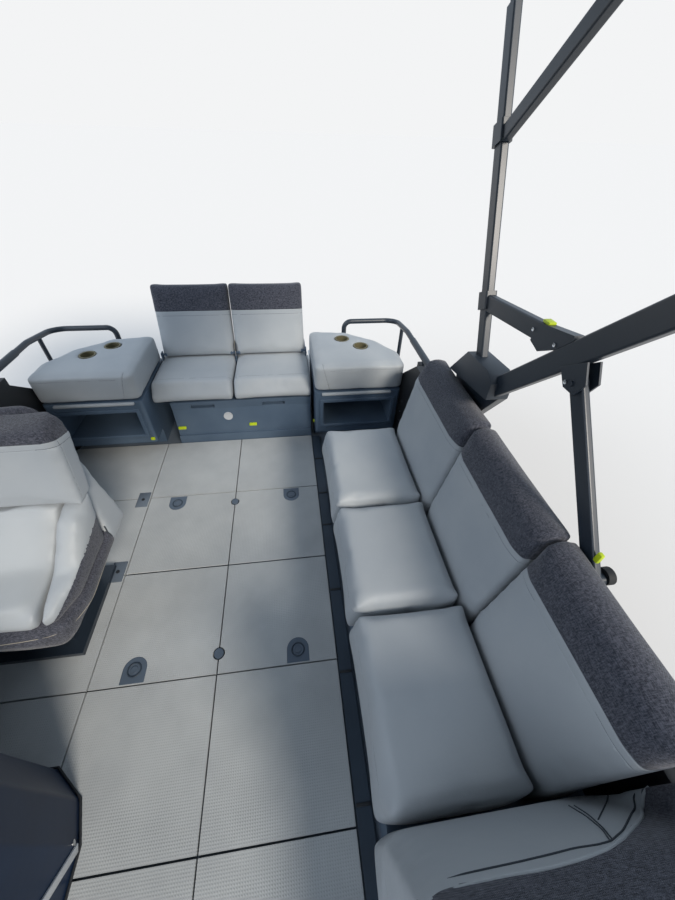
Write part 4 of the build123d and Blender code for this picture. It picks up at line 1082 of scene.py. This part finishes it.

# %% [markdown]
# Rims of the seat bases' slate plastic frame the two open cubbies under the corner pads. A rim is a
# frame: a face is inset, the middle deleted, and the rest given thickness.

# %% Rims of the cubbies
def rim(name, x, low, high, wide, material):
    """A flat frame in a plane of constant X, from its low to its high corner (Y, Z)."""
    middle = (x, (low[0] + high[0]) / 2, (low[1] + high[1]) / 2)
    size = (high[1] - low[1], high[0] - low[0], 1)
    bpy.ops.mesh.primitive_plane_add(size=1, location=middle, rotation=(0, math.pi / 2, 0))
    piece = bpy.context.object
    piece.scale = size
    only(piece)
    bpy.ops.object.transform_apply(location=True, rotation=True, scale=True)
    edit(whole=True)
    bpy.ops.mesh.inset(thickness=wide)
    bpy.ops.mesh.delete(type="FACE")
    bpy.ops.mesh.select_all(action="SELECT")
    bpy.ops.mesh.normals_make_consistent(inside=False)
    leave()
    thicken(piece, 0.014, 0)
    return settle(piece, name, material, "boat", 0.004)


for side, way in SIDES:
    ys = sorted((way * 0.556, way * 1.054))
    rim(f"cubby_rim_{side}", fore(0.092), (ys[0], up(0.146)), (ys[1], up(0.369)), 0.024, base_plastic)
print("rims made")

# %% [markdown]
# Under each corner pad a thin vinyl flange lies on the base, and a black gusset closes the gap
# between the base, the side wall and the lounge. Its top slopes up to the side rail.

# %% Flanges and wall gussets
GUSSET_MID, GUSSET_THICK = 1.120, 0.040
for side, way in SIDES:
    brick(f"pad_flange_{side}", (fore(0.094), way * 0.795, up(0.4105)), (0.026, 0.452, 0.017),
          vinyl, edge=0.006)
    gusset = brick(f"wall_gusset_{side}", (fore(0.110), way * GUSSET_MID, up(0.3285)),
                   (0.500, GUSSET_THICK, 0.693), panel_black, edge=0.0)
    trim(gusset, (fore(0.030), 0, up(0.500)), (-0.18, 0, 0.23))
    only(gusset)
    bpy.ops.object.shade_flat()
    for number, z in enumerate((0.10, 0.18, 0.26, 0.34)):
        face = way * (GUSSET_MID - GUSSET_THICK / 2 - 0.0015)
        disc(f"wall_screw_{number}_{side}", (fore(0.115), face, up(z)), 0.007, 0.004, (0, -way, 0), stainless)
print("flanges and gussets placed")

# %% [markdown]
# **Canopy housings.** The CAD solid is a plain block with a foot. The real moulding tapers to its
# foot, slopes down behind the post and has round edges, so a merged copy gets those.

# %% Housings of the canopy frame
for side, piece in zip(("starboard", "port"), copies("canopy_brackets", (1,))):
    table = points(piece)
    toe = (table[:, 2] < up(0.76)) & (table[:, 0] > fore(0.82))
    table[toe, 0] -= 0.12
    table[(table[:, 2] < up(0.885)) & (table[:, 0] > fore(0.970)), 2] += 0.060
    put_points(piece, table)
    trim(piece, (fore(0.762), 0, up(1.026)), (-0.115, 0, 0.098))
    edit(whole=True)
    bpy.ops.mesh.dissolve_limited(angle_limit=math.radians(1))
    bpy.ops.mesh.select_all(action="DESELECT")
    bpy.ops.mesh.select_mode(type="EDGE")
    bpy.ops.mesh.edges_select_sharp(sharpness=math.radians(35))
    bpy.ops.mesh.bevel(offset=0.005, segments=3, affect="EDGES", clamp_overlap=True)
    bpy.ops.mesh.select_mode(type="VERT")
    leave()
    piece.data.materials.clear()
    settle(piece, f"canopy_housing_{side}", frame_paint, "boat")
    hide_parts("canopy_brackets")
print("housings shaped")

# %% [markdown]
# The canopy frame's joints show their hardware: screw heads, lime pull tabs and black knobs. On the
# helm console a pale strip rises from its foot along the leaning edge as a painted highlight, with one
# screw, and a dark gasket runs round its base.

# %% Hardware of the frame and the console, and a painted highlight
FRAME_SCREWS = ((-0.602, 1.133, 1.858), (-0.490, 1.133, 1.860), (-0.380, 1.122, 1.806))
for side, way in SIDES:
    for number, (x, y, z) in enumerate(FRAME_SCREWS):
        disc(f"frame_screw_{number}_{side}", (x, way * y, z), 0.006, 0.004, (0, -way, 0), stainless)
    brick(f"strut_tab_{side}", (-0.566, way * 1.150, 1.894), (0.034, 0.026, 0.010), lime_plastic, edge=0.004)
    brick(f"prop_tab_{side}", (-0.030, way * 1.145, 1.492), (0.016, 0.012, 0.034), lime_plastic, edge=0.004)
    disc(f"prop_knob_{side}", (-0.013, way * 1.193, 1.421), 0.024, 0.022, (0, way, 0), grip_rubber)
# A pale strip on the console's leaning edge: a painted highlight.
brick("console_edge_painted_highlight", (0.430, -0.362, up(0.180)), (0.440, 0.006, 0.026), trim_plastic,
      turn=(0, -math.radians(48), 0))
disc("console_screw", (0.273, -0.3665, up(0.040)), 0.008, 0.004, (-0.34, 0.94, 0), stainless)
foot = ((0.076, -0.90), (0.076, -0.508), (0.168, -0.401), (0.280, -0.361), (0.800, -0.361))
tube("console_gasket", [(x, y, up(0.003)) for x, y in foot], 0.004, bumper_rubber)
print("frame and console hardware placed")

# %% [markdown]
# ** Piping.** Where a seam bends, a thin welt is laid along it. The points are given near the
# cushion, and each is pulled onto the nearest spot of the cover, so the welt follows the swell.

# %% Piping tool
def on_cover(name, spots, steps=8):
    """Points along a smooth line through the spots, each moved onto the cushion's surface."""
    piece = soft[name]["piece"]
    spots = [Vector(s) for s in spots]
    line = []
    for one, two in zip(spots[:-1], spots[1:]):
        for share in range(steps):
            hit, near, normal, face = piece.closest_point_on_mesh(one.lerp(two, share / steps))
            line.append(near + normal * 0.0005)
    hit, near, normal, face = piece.closest_point_on_mesh(spots[-1])
    line.append(near + normal * 0.0005)
    for again in range(3):
        inner = [(a + b * 2 + c) / 4 for a, b, c in zip(line[:-2], line[1:-1], line[2:])]
        line = [line[0]] + inner + [line[-1]]
    return line


def piping(name, cushion, spots, radius=0.0022, material=vinyl):
    """A welt on a cushion."""
    return tube(name, on_cover(cushion, spots), radius, material, bodies[cushion])


print("piping tool ready")

# %% [markdown]
# Where the lounge turns its corner, the end back's vinyl is drawn up to a curved edge. A welt runs
# along that edge. A dark seam line below it, two more that divide the corner's cover and one on a
# curve are painted shade, the dark of their creases.

# %% Welts of the end back
corner = [(0.460, y, z) for y, z in zip(edge_y[:8], edge_z[:8])]
corner += [(0.402, 1.082, 1.254), (0.387, 1.088, 1.268)]
piping("end_welt", "lounge_end_back", corner, 0.0035)
below = [(0.454, 0.520, 1.372), (0.453, 0.712, 1.370), (0.450, 0.829, 1.361), (0.453, 0.870, 1.366),
         (0.452, 0.900, 1.363), (0.443, 0.950, 1.330), (0.433, 0.990, 1.293), (0.424, 1.029, 1.256),
         (0.403, 1.077, 1.226), (0.384, 1.089, 1.238)]
# These dark seam lines on the end back are painted shade.
piping("end_seam", "lounge_end_back", below, 0.0018, painted_seam_shade)
slants = [[(0.394, 0.965, 1.135), (0.416, 0.950, 1.219), (0.437, 0.925, 1.305), (0.451, 0.899, 1.362)],
          [(0.396, 0.974, 1.142), (0.414, 0.960, 1.211), (0.435, 0.932, 1.298), (0.449, 0.908, 1.354)]]
for number, slant in enumerate(slants):
    piping(f"end_slant_{number}", "lounge_end_back", slant, 0.0014, painted_seam_shade)
curve = [(0.389, 1.069, 1.138), (0.400, 1.030, 1.175), (0.412, 0.995, 1.211), (0.422, 0.954, 1.254)]
piping("end_curve", "lounge_end_back", curve, 0.0014, painted_seam_shade)
print("end back sewn")

# %% [markdown]
# The helm seat is a bucket: vinyl where one sits and leans, with raised bolsters at both sides,
# tweed round its lower shell and over the top of the back. A pale thread line is sewn along the
# shell's side, and a welt lies where vinyl and tweed meet, its dark colour painted shade.

# %% Helm seat
HELM_SIDE = 0.345
helm_aft, helm_fore = fore(0.860), fore(1.450)
tweed_aft, tweed_aft_high, tweed_fore_high = fore(1.130), up(0.528), up(0.487)
TWEED_FALL = 0.2
back_lean = Vector((-0.105, 0, 0.430)).normalized()
band = Vector((helm_aft + 0.17, 0, up(0.884)))


def low_on_side(p):
    """True below the line where the shell's tweed ends, which falls a little going forward."""
    return p.z < max(tweed_fore_high, tweed_aft_high - TWEED_FALL * (p.x - tweed_aft))


seam("helm_back", band, back_lean)
seam("helm_back", band - back_lean * 0.020, back_lean, depth=0.002, half=0.002)
print("helm back tweed faces:", clad("helm_back", lambda p: (p - band).dot(back_lean) > 0))
seam("helm_seat_body", band, back_lean, depth=0.001, half=0.002)
clad("helm_seat_body", lambda p: low_on_side(p) and p.x > fore(1.050) or (p - band).dot(back_lean) > 0)
front_edge = (fore(1.030), 0, up(0.75))
seam("helm_back", front_edge, (0.430, 0, 0.105), lambda p: abs(p.y - HELM_MID) > 0.30, 0.0025, 0.002)

# %% [markdown]
# The bolsters' tweed ends on a plane that falls forward and inward, so only their outer sides
# have it. Along the shell's side a welt whose dark colour is painted shade and a pale line of stitching are
# laid.

# %% Bolsters, welts and stitching of the helm seat
for side, way in SIDES:
    name = f"helm_bolster_{side}"
    edge = Vector((tweed_aft, HELM_MID + way * HELM_SIDE, tweed_aft_high))
    fall = Vector((TWEED_FALL, -0.8 * way, 1)).normalized()
    seam(name, edge, fall, lambda p: abs(p.y - HELM_MID) > 0.25, 0.004, 0.002)
    clad(name, lambda p: (p - edge).dot(fall) < 0)
    y = HELM_MID + way * HELM_SIDE
    welt = [(helm_aft + 0.19, y, up(0.215)), (helm_aft + 0.19, y, up(0.400)), (helm_aft + 0.21, y, up(0.465))]
    # The welt's dark colour is painted shade.
    piping(f"helm_welt_painted_shade_{side}", "helm_seat_body", welt, 0.003, painted_seam_shade)
    stitch = [(helm_aft + 0.27, y, up(0.338)), (helm_aft + 0.34, y, up(0.345)),
              (helm_fore - 0.15, y, up(0.355)), (helm_fore - 0.06, y - way * 0.05, up(0.365)),
              (helm_fore - 0.015, y - way * 0.15, up(0.370)), (helm_fore, y - way * 0.30, up(0.370))]
    piping(f"helm_stitch_{side}", "helm_seat_body", stitch, 0.0012, thread)
print("helm seat sewn")

# %% [markdown]
# The corner pads carry a seam along their top edge and one down the inner end of their front.

# %% Seams of the corner pads
for side, way in SIDES:
    name = f"corner_pad_{side}"
    seam(name, (0, 0, up(0.566)), (0, 0, 1), lambda p: abs(p.y) > 0.62 and p.x > fore(-0.30), 0.003, 0.002)
    seam(name, (0, way * 0.60, up(0.51)), (0, 1, 0.25 * way), lambda p: p.x > fore(0.05), 0.003, 0.002)
print("corner pads sewn")

# %% [markdown]
# The long seat cushions have a seam round their upper edge, where the top panel meets the border.

# %% Seams of the seat cushions
for name in ("lounge_cushion_aft", "lounge_cushion_mid", "lounge_cushion_fore"):
    seam(name, (0, 0, up(0.398)), (0, 0, 1), lambda p: p.y < 0.62 or abs(p.x - fore(2.010)) < 0.05,
         0.002, 0.002)
for name in ("stern_cushion_port", "stern_cushion_starboard"):
    seam(name, (fore(-0.100), 0, up(0.440)), (1, 0, 0.1), lambda p: p.z > up(0.36), 0.0015, 0.002)
print("seat cushions sewn")

# %% [markdown]
# **Canopy pockets.** Each bow runs in a sewn pocket, and the sheet ends in hems. They are strips of
# the same canvas, laid a little above the sheet.

# %% Canopy pockets and hems
def roof_high(x, y):
    """The canopy sheet's height at a place, read from the sheet itself."""
    hit, near, normal, face = canopy.ray_cast(Vector((x, y, 3.2)), Vector((0, 0, -1)))
    return near.z


def strip(name, start, end, lift):
    """A band of canvas across the boat between two places along it."""
    count = 40
    bpy.ops.mesh.primitive_grid_add(x_subdivisions=3, y_subdivisions=count, size=1, location=(0, 0, 0))
    piece = bpy.context.object
    table = points(piece)
    xs = start + (table[:, 0] + 0.5) * (end - start)
    ys = table[:, 1] * 2 * (canopy_half - 0.004)
    zs = [roof_high(min(max(x, canopy_aft + 0.003), canopy_fore - 0.003), y) + lift for x, y in zip(xs, ys)]
    put_points(piece, np.stack([xs, ys, zs], axis=1))
    thicken(piece, 0.0014)
    return settle(piece, name, canopy_cloth, "boat")


HEM_WIDE = 0.023
for number, x in enumerate(bows):
    start, end = max(x - 0.045, canopy_aft + 0.002), min(x + 0.045, canopy_fore - 0.002)
    strip(f"canopy_pocket_{number}", start, end, 0.0016)
for name, start in (("aft", canopy_aft + 0.001), ("fore", canopy_fore - 0.024)):
    strip(f"canopy_hem_{name}", start, start + HEM_WIDE, 0.0032)
